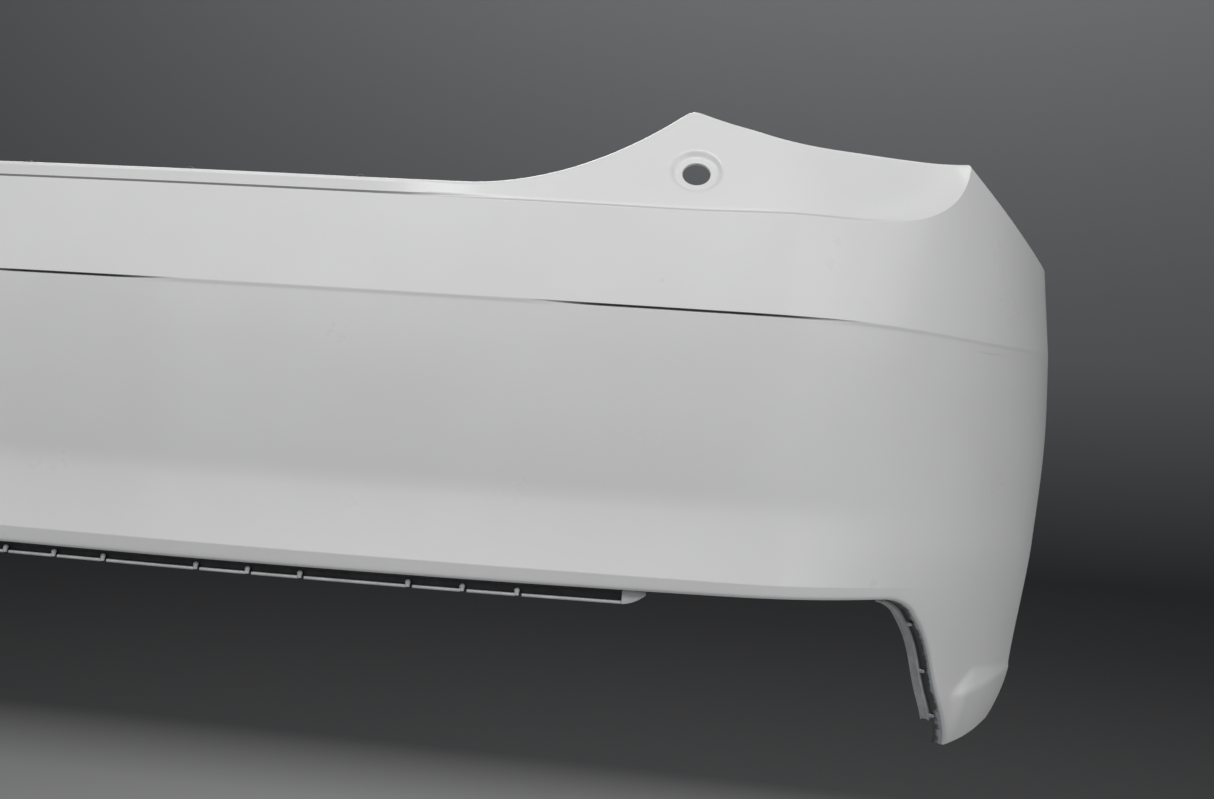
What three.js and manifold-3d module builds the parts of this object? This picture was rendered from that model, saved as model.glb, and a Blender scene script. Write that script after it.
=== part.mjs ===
// Rear bumper cover of a small car, with the trim, guides and clips that hang on it.
// Millimetres, +X to the car's right-hand side, -Y out of the car's rear face, +Z up.
// The skin is one moulded sheet bent along a plan curve. A point on it is given by
//   s  the arc length along the plan curve, from the centre plane,
//   h  the height above the underside reference,
//   d  the distance inwards from the plan curve, square to it.
// The right-hand half is described, and the left-hand half is its mirror image.
import * as THREE from 'three';
import { mergeVertices } from 'three/addons/utils/BufferGeometryUtils.js';
import Module from 'manifold-3d';

const wasm = await Module();
wasm.setup();

// ---------------------------------------------------------------- driving sizes
const SKIN = 3.0;             // wall of the moulded skin
const GAP = 0.4;              // clearance between pieces that touch
const RETURN_DEPTH = 14;      // flange turned in along the skin's whole edge

const CENTRE_RADIUS = 3600;   // plan curve: nearly flat rear face
const CORNER_RADIUS = 175;    // plan curve: the corner
const SIDE_RADIUS = 478;      // plan curve: the side, up to the wheel arch
const CORNER_IN = [574, 608];
const CORNER_OUT = [620, 741];

const SIDE_END = 1105;        // s of the short joint with the fender, ahead of the arch
const ARCH_RADIUS = 380;
const ARCH_S = 1360;          // centre of the wheel arch, on the unrolled side
const ARCH_H = 20;

const CREASE_H = 351;         // the crease along the middle of the skin
const CREASE_DROP = 6;        // how far it falls round the corner
const SHELF_H = 433;          // the shelf crease under the lip and the horns
const LIP_TOP_H = 448.5;      // top of the lip between the horns
const LIP_END_S = 340;        // where the lip starts to rise into a horn
const HORN_S = 532;           // the horn's peak, under the tail lamp's inner end
const HORN_H = 527.5;
const HORN_ROUND = 8;         // how softly the peak is rounded
const LAMP_EDGE_H = 500;      // level part of the edge under the lamp
const LAMP_FLAT_S = 705;
const LAMP_CURVE = 2.3;
const LAMP_CORNER_S = 822;    // the lamp's outer corner, where the fender seam starts
const SEAM_LOW_S = 1060;
const SEAM_LOW_H = 433;
const HORN_LEAN = 0.65;       // how far the horn leans into the car per mm of height

const HOLE_S = 538.8;         // sensor hole in each horn
const HOLE_H = 469.6;
const HOLE_RADIUS = 12;
const DISH_RADIUS = 22;
const DISH_DEPTH = 4;

const LEG_S = 775;            // where the bottom edge turns down into the leg
const LEG_H = 108;
const LEG_TIP_H = -20;
const LEG_LEAN = 93;          // how far the leg's inner edge runs outboard to its tip
const LEG_HEEL_H = -10;       // the leg's lower corner at the wheel arch
const LEG_BOW = 0.08;         // how the inner edge bows
const FOOT_CURVE = 1.1;       // how the leg's bottom edge bows up to the heel

const BOTTOM_H = 114;         // bottom edge on the centre plane
const BOTTOM_RISE = 3.8;      // how far it rises by BOTTOM_RISE_S
const BOTTOM_RISE_S = 700;
const LEG_TURN_S = 735;       // where the bottom edge starts to turn down into the leg
const LEG_TURN_CURVE = 2.5;

const CREASE_DROP_S = [660, 900];
const SHELF_RISE = 2.5;       // small rise of the shelf crease outboard of the horn's peak
const SHELF_RISE_S = [520, 640];
const SHELF_CLIMB = 64;       // its climb to the lamp's outer corner
const SHELF_CLIMB_S = 650;
const SHELF_CLIMB_CURVE = 3;
const SHELF_CLIMB_END = 0.55;  // below 1, so the climb ends almost upright
const SHELF_MARGIN = 7;       // it always stays this far below the top edge

const SIDE_FADE = [560, 820]; // s over which the rear face's relief gives way to the side's
const UNDERCUT = 1.3;         // step in below the crease
const UNDERCUT_H = 3;
const WAIST = 11;             // hollow between the crease and the lower lip
const WAIST_H = 160;
const WAIST_CURVE = 1.7;
const FLARE = 7;              // how far the lower lip stands out again
const FLARE_H = [196, 148];
const LOWER_LIP_H = 128.5;      // below it the lip turns under
const TURN_UNDER = 0.21;
const SIDE_UNDERCUT = 0.8;    // the side's share of the rear face's undercut
const SIDE_WAIST = 2;
const FAR_FADE = [850, 1050]; // s over which the side gives way to its bellied forward end
const BELLY = 0.8;            // how far the belly stands out, at BELLY_H
const BELLY_H = 195;
const BELLY_RISE = 3.2;       // how far the forward end leans in from there up to the crease
const BELLY_SPAN = 150;
const FAR_STEP = 2.4;
const SIDE_TUCK = 11;         // how far the side's lower end is pulled in
const SIDE_TUCK_H = [165, 5];
const BAND_TILT = 0.212;      // lean of the band between the two creases, per mm of height
const SIDE_TILT = 0.07;
const FAR_TILT = 0.105;
const LIP_FADE = [230, 400];  // s over which the lip's step fades into the horn
const LIP_STEP = 15;          // how far the lip is set back above the shelf crease
const LIP_STEP_H = 4;
const LIP_LEAN = 0.1;

// ---------------------------------------------------------------- plan curve
const PLAN_STEP = 1;
const smooth = (from, to, x) => {
  const t = Math.min(1, Math.max(0, (x - from) / (to - from)));
  return t * t * (3 - 2 * t);
};
const mix = (a, b, t) => a + (b - a) * t;

const planTable = (() => {
  const table = [{ x: 0, y: 0, heading: 0 }];
  const curvature = (s) => 1 / CENTRE_RADIUS
    + (1 / CORNER_RADIUS - 1 / CENTRE_RADIUS) * smooth(...CORNER_IN, s)
    + (1 / SIDE_RADIUS - 1 / CORNER_RADIUS) * smooth(...CORNER_OUT, s);
  for (let s = 0; s < SIDE_END + 60; s += PLAN_STEP) {
    const last = table[table.length - 1];
    const middle = last.heading + curvature(s + PLAN_STEP / 2) * PLAN_STEP / 2;
    table.push({
      x: last.x + Math.cos(middle) * PLAN_STEP,
      y: last.y + Math.sin(middle) * PLAN_STEP,
      heading: last.heading + curvature(s + PLAN_STEP / 2) * PLAN_STEP,
    });
  }
  return table;
})();

// The plan curve's point and heading at arc length s, on either side of the centre plane.
function planAt(s) {
  const place = Math.abs(s) / PLAN_STEP;
  const low = Math.min(Math.floor(place), planTable.length - 2);
  const t = place - low;
  const a = planTable[low];
  const b = planTable[low + 1];
  const side = Math.sign(s) || 1;
  return { x: side * mix(a.x, b.x, t), y: mix(a.y, b.y, t), heading: side * mix(a.heading, b.heading, t) };
}

// Where (s, d, h) is in space.
function at(s, d, h) {
  const plan = planAt(s);
  return new THREE.Vector3(
    plan.x - Math.sin(plan.heading) * d,
    plan.y + Math.cos(plan.heading) * d,
    h,
  );
}

// ---------------------------------------------------------------- outline of the skin
// Height of the skin's top edge: lip, horn, lamp edge, then the fender seam.
function topEdge(s) {
  if (s < LIP_END_S) return LIP_TOP_H;
  if (s < LAMP_CORNER_S) {
    const climb = (s - LIP_END_S) / (HORN_S - LIP_END_S);
    const drop = Math.max(0, LAMP_FLAT_S - s) / (LAMP_FLAT_S - HORN_S);
    const horn = LIP_TOP_H + (HORN_H - LIP_TOP_H) * climb ** 2;
    const lamp = LAMP_EDGE_H + (HORN_H - LAMP_EDGE_H) * drop ** LAMP_CURVE;
    const near = Math.max(0, HORN_ROUND - Math.abs(horn - lamp)) / HORN_ROUND;
    return Math.min(horn, lamp) - near ** 2 * HORN_ROUND / 4;
  }
  const t = Math.max(0, (SEAM_LOW_S - s) / (SEAM_LOW_S - LAMP_CORNER_S));
  return SEAM_LOW_H + (LAMP_EDGE_H - SEAM_LOW_H) * t * t;
}

// Height of the bottom edge up to the leg, and of the line across the leg's root after it.
function bottomEdge(s) {
  if (s > LEG_S) return LEG_H;
  const rise = BOTTOM_H + BOTTOM_RISE * (s / BOTTOM_RISE_S) ** 2;
  const turn = Math.max(0, (s - LEG_TURN_S) / (LEG_S - LEG_TURN_S)) ** LEG_TURN_CURVE;
  return mix(rise, LEG_H, turn);
}

// s of the skin's forward edge: the wheel arch, cut short by the joint with the fender.
function forwardEdge(h) {
  const up = Math.min(Math.abs(h - ARCH_H), ARCH_RADIUS);
  return Math.min(SIDE_END, ARCH_S - Math.sqrt(ARCH_RADIUS ** 2 - up ** 2));
}

const creaseHeight = (s) => CREASE_H - CREASE_DROP * smooth(...CREASE_DROP_S, s);

// Height of the shelf crease, which climbs to meet the lamp's outer corner.
function shelfHeight(s) {
  const part = Math.min(1, Math.max(0, (s - SHELF_CLIMB_S) / (LAMP_CORNER_S - SHELF_CLIMB_S)));
  const climb = SHELF_CLIMB * (1 - (1 - part ** SHELF_CLIMB_CURVE) ** SHELF_CLIMB_END);
  const level = SHELF_H + SHELF_RISE * smooth(...SHELF_RISE_S, s) + climb;
  return Math.min(level, topEdge(s) - SHELF_MARGIN);
}

// ---------------------------------------------------------------- relief of the skin
const centreShare = (s) => 1 - smooth(...SIDE_FADE, s);
const farShare = (s) => smooth(...FAR_FADE, s);

// Distance inwards of the skin below the crease, at the rear face and at the side.
function lowerRelief(s, h) {
  const fall = Math.max(0, creaseHeight(s) - h);
  const undercut = UNDERCUT * smooth(0, UNDERCUT_H, fall);
  const waist = WAIST * Math.min(1, fall / WAIST_H) ** WAIST_CURVE;
  const flare = FLARE * smooth(...FLARE_H, h);
  const under = TURN_UNDER * Math.max(0, LOWER_LIP_H - h);
  const rear = undercut + waist - flare + under;
  const near = undercut * SIDE_UNDERCUT + SIDE_WAIST * Math.min(1, fall / WAIST_H);
  const far = BELLY_RISE * Math.min(1, Math.max(0, (h - BELLY_H) / BELLY_SPAN)) ** 2 - BELLY;
  const side = mix(near, far, farShare(s)) + SIDE_TUCK * smooth(...SIDE_TUCK_H, h);
  return mix(side, rear, centreShare(s));
}

// Distance inwards of the whole skin at (s, h).
function relief(s, h) {
  const crease = creaseHeight(s);
  if (h <= crease) return lowerRelief(s, h);
  const tilt = mix(mix(SIDE_TILT, FAR_TILT, farShare(s)), BAND_TILT, centreShare(s));
  const shelf = shelfHeight(s);
  const band = tilt * (Math.min(h, shelf) - crease) + FAR_STEP * farShare(s);
  if (h <= shelf) return band;
  const lipShare = 1 - smooth(...LIP_FADE, s);
  const step = LIP_STEP * lipShare * smooth(0, LIP_STEP_H, h - shelf);
  const lean = mix(HORN_LEAN, LIP_LEAN, lipShare) * (h - shelf);
  return band + step + lean;
}

const onSkin = (s, h) => at(s, relief(Math.abs(s), h), h);

// ---------------------------------------------------------------- meshes
// A mesh's geometry from points and triangles, turned so that its faces point out.
function solidFrom(points, triangles) {
  let volume = 0;
  for (const [a, b, c] of triangles) {
    volume += points[a].dot(new THREE.Vector3().crossVectors(points[b], points[c]));
  }
  const faces = volume > 0 ? triangles : triangles.map(([a, b, c]) => [a, c, b]);
  const geometry = new THREE.BufferGeometry();
  const values = new Float32Array(points.flatMap((p) => [p.x, p.y, p.z]));
  geometry.setAttribute('position', new THREE.BufferAttribute(values, 3));
  geometry.setIndex(faces.flat());
  return geometry;
}

// A closed bar through rings of equal point count.
function loft(rings) {
  const count = rings[0].length;
  const points = rings.flat();
  const triangles = [];
  for (let ring = 0; ring + 1 < rings.length; ring += 1) {
    for (let i = 0; i < count; i += 1) {
      const a = ring * count + i;
      const b = ring * count + ((i + 1) % count);
      triangles.push([a, b, b + count], [a, b + count, a + count]);
    }
  }
  const last = (rings.length - 1) * count;
  for (const [a, b, c] of THREE.ShapeUtils.triangulateShape(flatOutline(rings[0]), [])) {
    triangles.push([a, b, c], [last + c, last + b, last + a]);
  }
  return solidFrom(points, orientLoft(points, triangles));
}

// A ring's points in its own plane, for triangulating the bar's ends.
function flatOutline(ring) {
  const origin = ring[0];
  const normal = new THREE.Vector3();
  for (let i = 0; i < ring.length; i += 1) {
    const a = ring[i].clone().sub(origin);
    const b = ring[(i + 1) % ring.length].clone().sub(origin);
    normal.add(a.cross(b));
  }
  normal.normalize();
  const across = ring[1].clone().sub(origin).normalize();
  const up = new THREE.Vector3().crossVectors(normal, across);
  return ring.map((p) => {
    const from = p.clone().sub(origin);
    return new THREE.Vector2(from.dot(across), from.dot(up));
  });
}

// Turns the triangles so that neighbours agree, starting from the first.
function orientLoft(points, triangles) {
  const edges = new Map();
  const key = (a, b) => (a < b ? `${a}_${b}` : `${b}_${a}`);
  triangles.forEach((triangle, index) => {
    for (let i = 0; i < 3; i += 1) {
      const edge = key(triangle[i], triangle[(i + 1) % 3]);
      if (!edges.has(edge)) edges.set(edge, []);
      edges.get(edge).push(index);
    }
  });
  const turned = triangles.map((triangle) => [...triangle]);
  const done = new Set([0]);
  const queue = [0];
  const runsAlong = (triangle, a, b) => [0, 1, 2].some((i) => triangle[i] === a && triangle[(i + 1) % 3] === b);
  while (queue.length) {
    const index = queue.pop();
    const triangle = turned[index];
    for (let i = 0; i < 3; i += 1) {
      const a = triangle[i];
      const b = triangle[(i + 1) % 3];
      for (const next of edges.get(key(a, b))) {
        if (done.has(next)) continue;
        if (runsAlong(turned[next], a, b)) turned[next].reverse();
        done.add(next);
        queue.push(next);
      }
    }
  }
  return turned;
}

function toManifold(geometry) {
  const bare = geometry.clone();
  bare.deleteAttribute('normal');
  bare.deleteAttribute('uv');
  const merged = mergeVertices(bare, 1e-4);
  return new wasm.Manifold(new wasm.Mesh({
    numProp: 3,
    vertProperties: Float32Array.from(merged.attributes.position.array),
    triVerts: Uint32Array.from(merged.index.array),
  }));
}

function fromManifold(solid) {
  const mesh = solid.getMesh();
  const geometry = new THREE.BufferGeometry();
  geometry.setAttribute('position', new THREE.BufferAttribute(Float32Array.from(mesh.vertProperties), 3));
  geometry.setIndex(Array.from(mesh.triVerts));
  return geometry;
}

// ---------------------------------------------------------------- skin
const REAR_COLUMNS = [
  0, 80, 160, 230, 280, 320, 360, 400, 440, 475, 500, 518, 532, 548, 570,
  595, 620, 645, 670, 695, 720, 738, 752, 764, LEG_S, 798, LAMP_CORNER_S,
];
const SIDE_COLUMNS = 9;       // from the lamp corner to the forward edge
const LEG_ROWS = 6;
const LOWER_ROWS = [LOWER_LIP_H, 146, 166, 190, 230, 280, 322];

// Heights of the rows of the skin's grid at arc length s, bottom edge first.
function rowHeights(s) {
  const bottom = bottomEdge(s);
  const crease = creaseHeight(s);
  const shelf = shelfHeight(s);
  const top = topEdge(s);
  return [
    bottom, ...LOWER_ROWS, crease - UNDERCUT_H - 1, crease, mix(crease, shelf, 0.5),
    shelf, Math.min(shelf + LIP_STEP_H, mix(shelf, top, 0.4)), mix(shelf, top, 0.7), top,
  ];
}

// The points (s, h) of one side column, which leans with the forward edge.
function sideColumn(share) {
  const column = (h) => mix(LAMP_CORNER_S, forwardEdge(h), share);
  const heights = rowHeights(column(SEAM_LOW_H));
  return heights.map((guess, row) => {
    let h = guess;
    for (let turn = 0; turn < 6; turn += 1) h = rowHeights(column(h))[row];
    return [column(h), h];
  });
}

// The leg's inner edge from its root down, and its bottom edge from the tip to the heel.
const legInner = (t) => [
  LEG_S + LEG_LEAN * (t + LEG_BOW * Math.sin(2 * Math.PI * t) * (1 - t)), mix(LEG_H, LEG_TIP_H, t),
];
const legFoot = (u) => [
  mix(LEG_S + LEG_LEAN, forwardEdge(LEG_HEEL_H), u), mix(LEG_TIP_H, LEG_HEEL_H, u ** FOOT_CURVE),
];

// The leg below its root, as a patch between its four edges.
function legPatch(rootRow) {
  const outer = (t) => {
    const h = mix(LEG_H, LEG_HEEL_H, t);
    return [forwardEdge(h), h];
  };
  const tip = legFoot(0);
  const heel = legFoot(1);
  const rows = [];
  const rootEnd = rootRow[rootRow.length - 1][0];
  for (let row = 1; row <= LEG_ROWS; row += 1) {
    const t = row / LEG_ROWS;
    rows.push(rootRow.map(([s]) => {
      const u = (s - LEG_S) / (rootEnd - LEG_S);
      return [0, 1].map((axis) => {
        const sides = mix(legInner(t)[axis], outer(t)[axis], u);
        const ends = mix([s, LEG_H][axis], legFoot(u)[axis], t);
        const corners = mix(
          mix([LEG_S, LEG_H][axis], [rootEnd, LEG_H][axis], u),
          mix(tip[axis], heel[axis], u),
          t,
        );
        return sides + ends - corners;
      });
    }));
  }
  return rows;
}

// The outer face of the right-hand half: points with their (s, h), and four-sided cells.
function halfSheet() {
  const columns = REAR_COLUMNS.map((s) => rowHeights(s).map((h) => [s, h]));
  for (let side = 1; side <= SIDE_COLUMNS; side += 1) columns.push(sideColumn(side / SIDE_COLUMNS));
  const rows = columns[0].length;
  const places = columns.flat();
  const cells = [];
  for (let c = 0; c + 1 < columns.length; c += 1) {
    for (let r = 0; r + 1 < rows; r += 1) {
      const a = c * rows + r;
      cells.push([a, a + rows, a + rows + 1, a + 1]);
    }
  }
  const first = REAR_COLUMNS.indexOf(LEG_S);
  const root = columns.slice(first).map((column) => column[0]);
  let above = root.map((_, i) => (first + i) * rows);
  for (const row of legPatch(root)) {
    const here = row.map((place) => places.push(place) - 1);
    for (let i = 0; i + 1 < here.length; i += 1) cells.push([here[i], here[i + 1], above[i + 1], above[i]]);
    above = here;
  }
  return { places, cells };
}

// Both halves as one sheet, sharing the points on the centre plane.
function wholeSheet() {
  const { places, cells } = halfSheet();
  const mirrored = places.map(([s], i) => (s === 0 ? i : -1));
  const all = [...places];
  places.forEach(([s, h], i) => {
    if (s !== 0) mirrored[i] = all.push([-s, h]) - 1;
  });
  const left = cells.map((cell) => cell.map((i) => mirrored[i]).reverse());
  return { places: all, cells: [...cells, ...left] };
}

// The skin as a closed wall: the sheet, its returns, and the same again one wall further in.
function skinSolid() {
  const { places, cells } = wholeSheet();
  const points = places.map(([s, h]) => onSkin(s, h));
  const outer = [...cells];
  const used = new Map();
  for (const cell of cells) {
    cell.forEach((a, i) => used.set(`${a}_${cell[(i + 1) % 4]}`, [a, cell[(i + 1) % 4]]));
  }
  const edge = [...used.values()].filter(([a, b]) => !used.has(`${b}_${a}`));
  const returned = new Map();
  for (const [a] of edge) {
    const [s, h] = places[a];
    returned.set(a, points.push(at(s, relief(Math.abs(s), h) + RETURN_DEPTH, h)) - 1);
  }
  for (const [a, b] of edge) outer.push([b, a, returned.get(a), returned.get(b)]);
  const inner = innerPoints(points, outer);
  const count = points.length;
  const triangles = [];
  for (const [a, b, c, d] of outer) {
    triangles.push([a, b, c], [a, c, d]);
    triangles.push([a + count, c + count, b + count], [a + count, d + count, c + count]);
  }
  for (const [a, b] of edge) {
    const p = returned.get(a);
    const q = returned.get(b);
    triangles.push([q, p, p + count], [q, p + count, q + count]);
  }
  return solidFrom([...points, ...inner], triangles);
}

const STIFFNESS = 0.02;       // keeps the least-squares step below solvable on flat ground

// Each point moved one wall in from every face that meets there.
function innerPoints(points, cells) {
  const normals = points.map(() => []);
  for (const cell of cells) {
    const [a, b, c, d] = cell.map((i) => points[i]);
    const normal = c.clone().sub(a).cross(d.clone().sub(b)).normalize();
    for (const i of cell) normals[i].push(normal);
  }
  return points.map((point, i) => {
    const matrix = new THREE.Matrix3().set(0, 0, 0, 0, 0, 0, 0, 0, 0);
    const m = matrix.elements;
    const target = new THREE.Vector3();
    for (const n of normals[i]) {
      const v = [n.x, n.y, n.z];
      for (let r = 0; r < 3; r += 1) for (let c = 0; c < 3; c += 1) m[c * 3 + r] += v[r] * v[c];
      target.addScaledVector(n, SKIN);
    }
    for (const diagonal of [0, 4, 8]) m[diagonal] += STIFFNESS;
    return point.clone().sub(target.applyMatrix3(matrix.invert()));
  });
}

// The sensor hole's place: its centre, and a turn that takes +Y to the way the horn faces.
function hornFrame(side) {
  const s = side * HOLE_S;
  const near = 4;
  const along = onSkin(s + near, HOLE_H).sub(onSkin(s - near, HOLE_H));
  const up = onSkin(s, HOLE_H + near).sub(onSkin(s, HOLE_H - near));
  const centre = onSkin(s, HOLE_H);
  const out = along.cross(up).normalize();
  return { centre, turn: new THREE.Quaternion().setFromUnitVectors(new THREE.Vector3(0, 1, 0), out) };
}

// A lathed solid stood on the horn's face, with +Y of its profile pointing out of it.
function onHorn(side, profile, steps) {
  const { centre, turn } = hornFrame(side);
  const geometry = new THREE.LatheGeometry(profile.map(([r, y]) => new THREE.Vector2(r, y)), steps);
  geometry.applyQuaternion(turn);
  geometry.translate(centre.x, centre.y, centre.z);
  return toManifold(geometry);
}

// The skin with a round dish and a hole in each horn.
function bumperSkin() {
  const steps = 32;
  const reach = 20;
  const floor = -DISH_DEPTH - SKIN;
  const rim = DISH_RADIUS + 2.5;         // the cup's rim is bedded in the skin's wall
  const rimTop = -0.6;
  const rimFoot = -2.5;
  const wallSlope = 1.6;
  const cutter = [[0, -reach], [DISH_RADIUS, -reach], [DISH_RADIUS, reach], [0, reach]];
  const cup = [
    [HOLE_RADIUS, floor], [DISH_RADIUS + 0.5, floor], [rim, rimFoot], [rim, rimTop],
    [DISH_RADIUS - 0.2, rimTop], [DISH_RADIUS - wallSlope, -DISH_DEPTH],
    [HOLE_RADIUS, -DISH_DEPTH], [HOLE_RADIUS, floor],
  ];
  let skin = toManifold(skinSolid());
  for (const side of [1, -1]) {
    skin = skin.subtract(onHorn(side, cutter, steps)).add(onHorn(side, cup, steps));
  }
  return fromManifold(skin);
}

// ---------------------------------------------------------------- rails, guides and pads
// A bar along the plan curve with a section that may change with s: pairs of (d, h).
function planBar(from, to, steps, section) {
  const rings = [];
  for (let i = 0; i <= steps; i += 1) {
    const s = mix(from, to, i / steps);
    rings.push(section(s).map(([d, h]) => at(s, d, h)));
  }
  return loft(rings);
}

const RAIL_END_S = 500;
const RAIL_LOW_H = 104;
const RAIL_WALL = 1.8;
const RAIL_FRONT_D = 13;
const RAIL_BACK_D = 27;
const RAIL_PLATE_SET_BACK = 3;
const RAIL_LIP = 0.4;         // the bead's extra thickness
const RAIL_END_GAP = 0.5;     // room left between bead and plate where the end tapers out
const HOOK_PITCH = 46.5;
const HOOK_GROUPS = [-366, -179, 0, 179, 366];
const HOOK_WIDTH = 4;
const HOOK_DEPTH = 5;
const HOOK_SET_BACK = 0.5;
const HOOK_H = 6.2;           // height of the hook's front above the rail's foot

const edgeDepth = (s) => relief(Math.abs(s), bottomEdge(Math.abs(s)));

// Section of the snap rail: a bead at the bottom, a web behind it and a top plate.
function railSection(s, height) {
  const shift = edgeDepth(s) - edgeDepth(0);
  const front = RAIL_FRONT_D + shift;
  const back = RAIL_BACK_D + shift;
  const top = bottomEdge(Math.abs(s)) - GAP;
  const low = mix(top - 2 * RAIL_WALL - RAIL_END_GAP, RAIL_LOW_H, height);
  const plate = front + RAIL_PLATE_SET_BACK;
  const bead = low + RAIL_WALL + RAIL_LIP;
  return [
    [front, low], [back, low], [back, top], [plate, top], [plate, top - RAIL_WALL],
    [back - RAIL_WALL, top - RAIL_WALL], [back - RAIL_WALL, bead], [front, bead],
  ];
}

// The snap rail with its small hooks, three to a group.
function lowerRail() {
  let rail = toManifold(planBar(-RAIL_END_S, RAIL_END_S, 24, (s) => railSection(s, 1)));
  for (const group of HOOK_GROUPS) {
    for (const place of [-HOOK_PITCH, 0, HOOK_PITCH]) {
      const s = group + place;
      const front = RAIL_FRONT_D + edgeDepth(s) - edgeDepth(0) + HOOK_SET_BACK;
      const root = RAIL_LOW_H + RAIL_WALL / 2;
      const hook = planBar(s - HOOK_WIDTH / 2, s + HOOK_WIDTH / 2, 1, () => [
        [front, root], [front + HOOK_DEPTH, root],
        [front + HOOK_DEPTH, bottomEdge(Math.abs(s)) - GAP - HOOK_SET_BACK / 2], [front, RAIL_LOW_H + HOOK_H],
      ]);
      rail = rail.add(toManifold(hook));
    }
  }
  return fromManifold(rail);
}

// The snap rail's tapered end tip, on the right.
function railEnd() {
  const length = 20;
  const sweep = 0.35;         // how far its tip is swept back
  return planBar(RAIL_END_S + GAP, RAIL_END_S + length, 3, (s) => {
    const taper = (s - RAIL_END_S) / length;
    return railSection(s, 1 - taper ** 2).map(([d, h]) => [mix(d, RAIL_BACK_D, taper * sweep), h]);
  });
}

const SILL_D = 49.5;            // the retainer's web, behind the lip
const SILL_DEPTH = 31;
const SILL_END_S = 322;
const SILL_TOP_H = LIP_TOP_H - SKIN - GAP;
const SILL_WALL = 2.5;
const SILL_DROP = 34;
const RIVET_S = [-240, -80, 80, 240];
const RIVET_D = 66;
const RIVET_RADIUS = 7;
const RIVET_HEAD_RADIUS = 9.6;
const RIVET_HEAD = 1.8;       // thickness of its head
const RIVET_STEM = 9;         // how far its stem stands out of the flange

// A round bar standing along +Z at (s, d).
function post(s, d, radius, low, high) {
  const bar = new THREE.CylinderGeometry(radius, radius, high - low, 20);
  bar.rotateX(Math.PI / 2);
  const place = at(s, d, (low + high) / 2);
  bar.translate(place.x, place.y, place.z);
  return toManifold(bar);
}

// The retainer behind the lip: a web, and a flange that lies on the body's sill.
function upperRetainer() {
  const bar = planBar(-SILL_END_S, SILL_END_S, 13, () => [
    [SILL_D, SILL_TOP_H - SILL_DROP], [SILL_D + SILL_WALL, SILL_TOP_H - SILL_DROP],
    [SILL_D + SILL_WALL, SILL_TOP_H - SILL_WALL], [SILL_D + SILL_DEPTH, SILL_TOP_H - SILL_WALL],
    [SILL_D + SILL_DEPTH, SILL_TOP_H], [SILL_D, SILL_TOP_H],
  ]);
  let solid = toManifold(bar);
  for (const s of RIVET_S) {
    const hole = post(s, RIVET_D, RIVET_RADIUS + GAP, SILL_TOP_H - 2 * SILL_WALL, SILL_TOP_H + SILL_WALL);
    solid = solid.subtract(hole);
  }
  return fromManifold(solid);
}

// A push-in rivet through the flange: a flat head below it and a tapered stem that stands up
// out of it, for the hole in the body's sill.
function sillRivet(s) {
  const seat = -SILL_WALL - GAP;
  const outline = [
    [0, seat - RIVET_HEAD], [RIVET_HEAD_RADIUS - 0.5, seat - RIVET_HEAD], [RIVET_HEAD_RADIUS, seat - 1],
    [RIVET_HEAD_RADIUS, seat], [RIVET_RADIUS, seat], [RIVET_RADIUS, RIVET_STEM / 5],
    [RIVET_RADIUS * 0.7, RIVET_STEM * 0.7], [RIVET_RADIUS * 0.3, RIVET_STEM - 0.4], [0, RIVET_STEM],
  ];
  const geometry = new THREE.LatheGeometry(outline.map(([r, y]) => new THREE.Vector2(r, y)), 20);
  geometry.rotateX(Math.PI / 2);
  const place = at(s, RIVET_D, SILL_TOP_H);
  geometry.translate(place.x, place.y, place.z);
  return fromManifold(toManifold(geometry));
}

const GUIDE_WALL = 2;
const SIDE_GUIDE_S = [858, 1086];
const SIDE_GUIDE_WIDTH = 11;
const SIDE_GUIDE_DROP = 16;   // height of its wall by the skin, then of the wall behind
const SIDE_GUIDE_BACK = 12;
const LAMP_GUIDE_S = [575, 770];
const LAMP_GUIDE_WIDTH = 24;
const LAMP_GUIDE_DROP = 18;
const LAMP_GUIDE_WEB = 8;     // the web's distance from the ledge's front edge

// The channel that the fender's edge slides into, under the seam.
function sideGuide() {
  return planBar(...SIDE_GUIDE_S, 12, (s) => {
    const top = topEdge(s) - SKIN - GAP;
    const near = relief(s, topEdge(s)) + SKIN * 1.5;
    const far = near + SIDE_GUIDE_WIDTH;
    return [
      [near, top - SIDE_GUIDE_DROP], [near + GUIDE_WALL, top - SIDE_GUIDE_DROP],
      [near + GUIDE_WALL, top - GUIDE_WALL], [far - GUIDE_WALL, top - GUIDE_WALL],
      [far - GUIDE_WALL, top - SIDE_GUIDE_BACK], [far, top - SIDE_GUIDE_BACK], [far, top], [near, top],
    ];
  });
}

// The ledge that the tail lamp's lower edge rests on.
function lampGuide() {
  return planBar(...LAMP_GUIDE_S, 14, (s) => {
    const top = topEdge(s) - SKIN - GAP;
    const under = top - GUIDE_WALL;
    const near = relief(s, topEdge(s)) + SKIN + 1;
    const far = near + LAMP_GUIDE_WIDTH;
    const web = near + LAMP_GUIDE_WEB;
    return [
      [web, top - LAMP_GUIDE_DROP], [web + GUIDE_WALL, top - LAMP_GUIDE_DROP], [web + GUIDE_WALL, under],
      [far, under], [far, top], [near, top], [near, under], [web, under],
    ];
  });
}

// The foam pad glued behind the horn's outer half.
function lampFoam() {
  const low = 452;
  const high = 478;
  const thick = 12;
  const away = SKIN * 1.2 + GAP;
  return planBar(578, 640, 4, (s) => {
    const bottom = relief(s, low) + away;
    const top = relief(s, high) + away;
    return [[bottom, low], [bottom + thick, low], [top + thick, high], [top, high]];
  });
}

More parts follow.
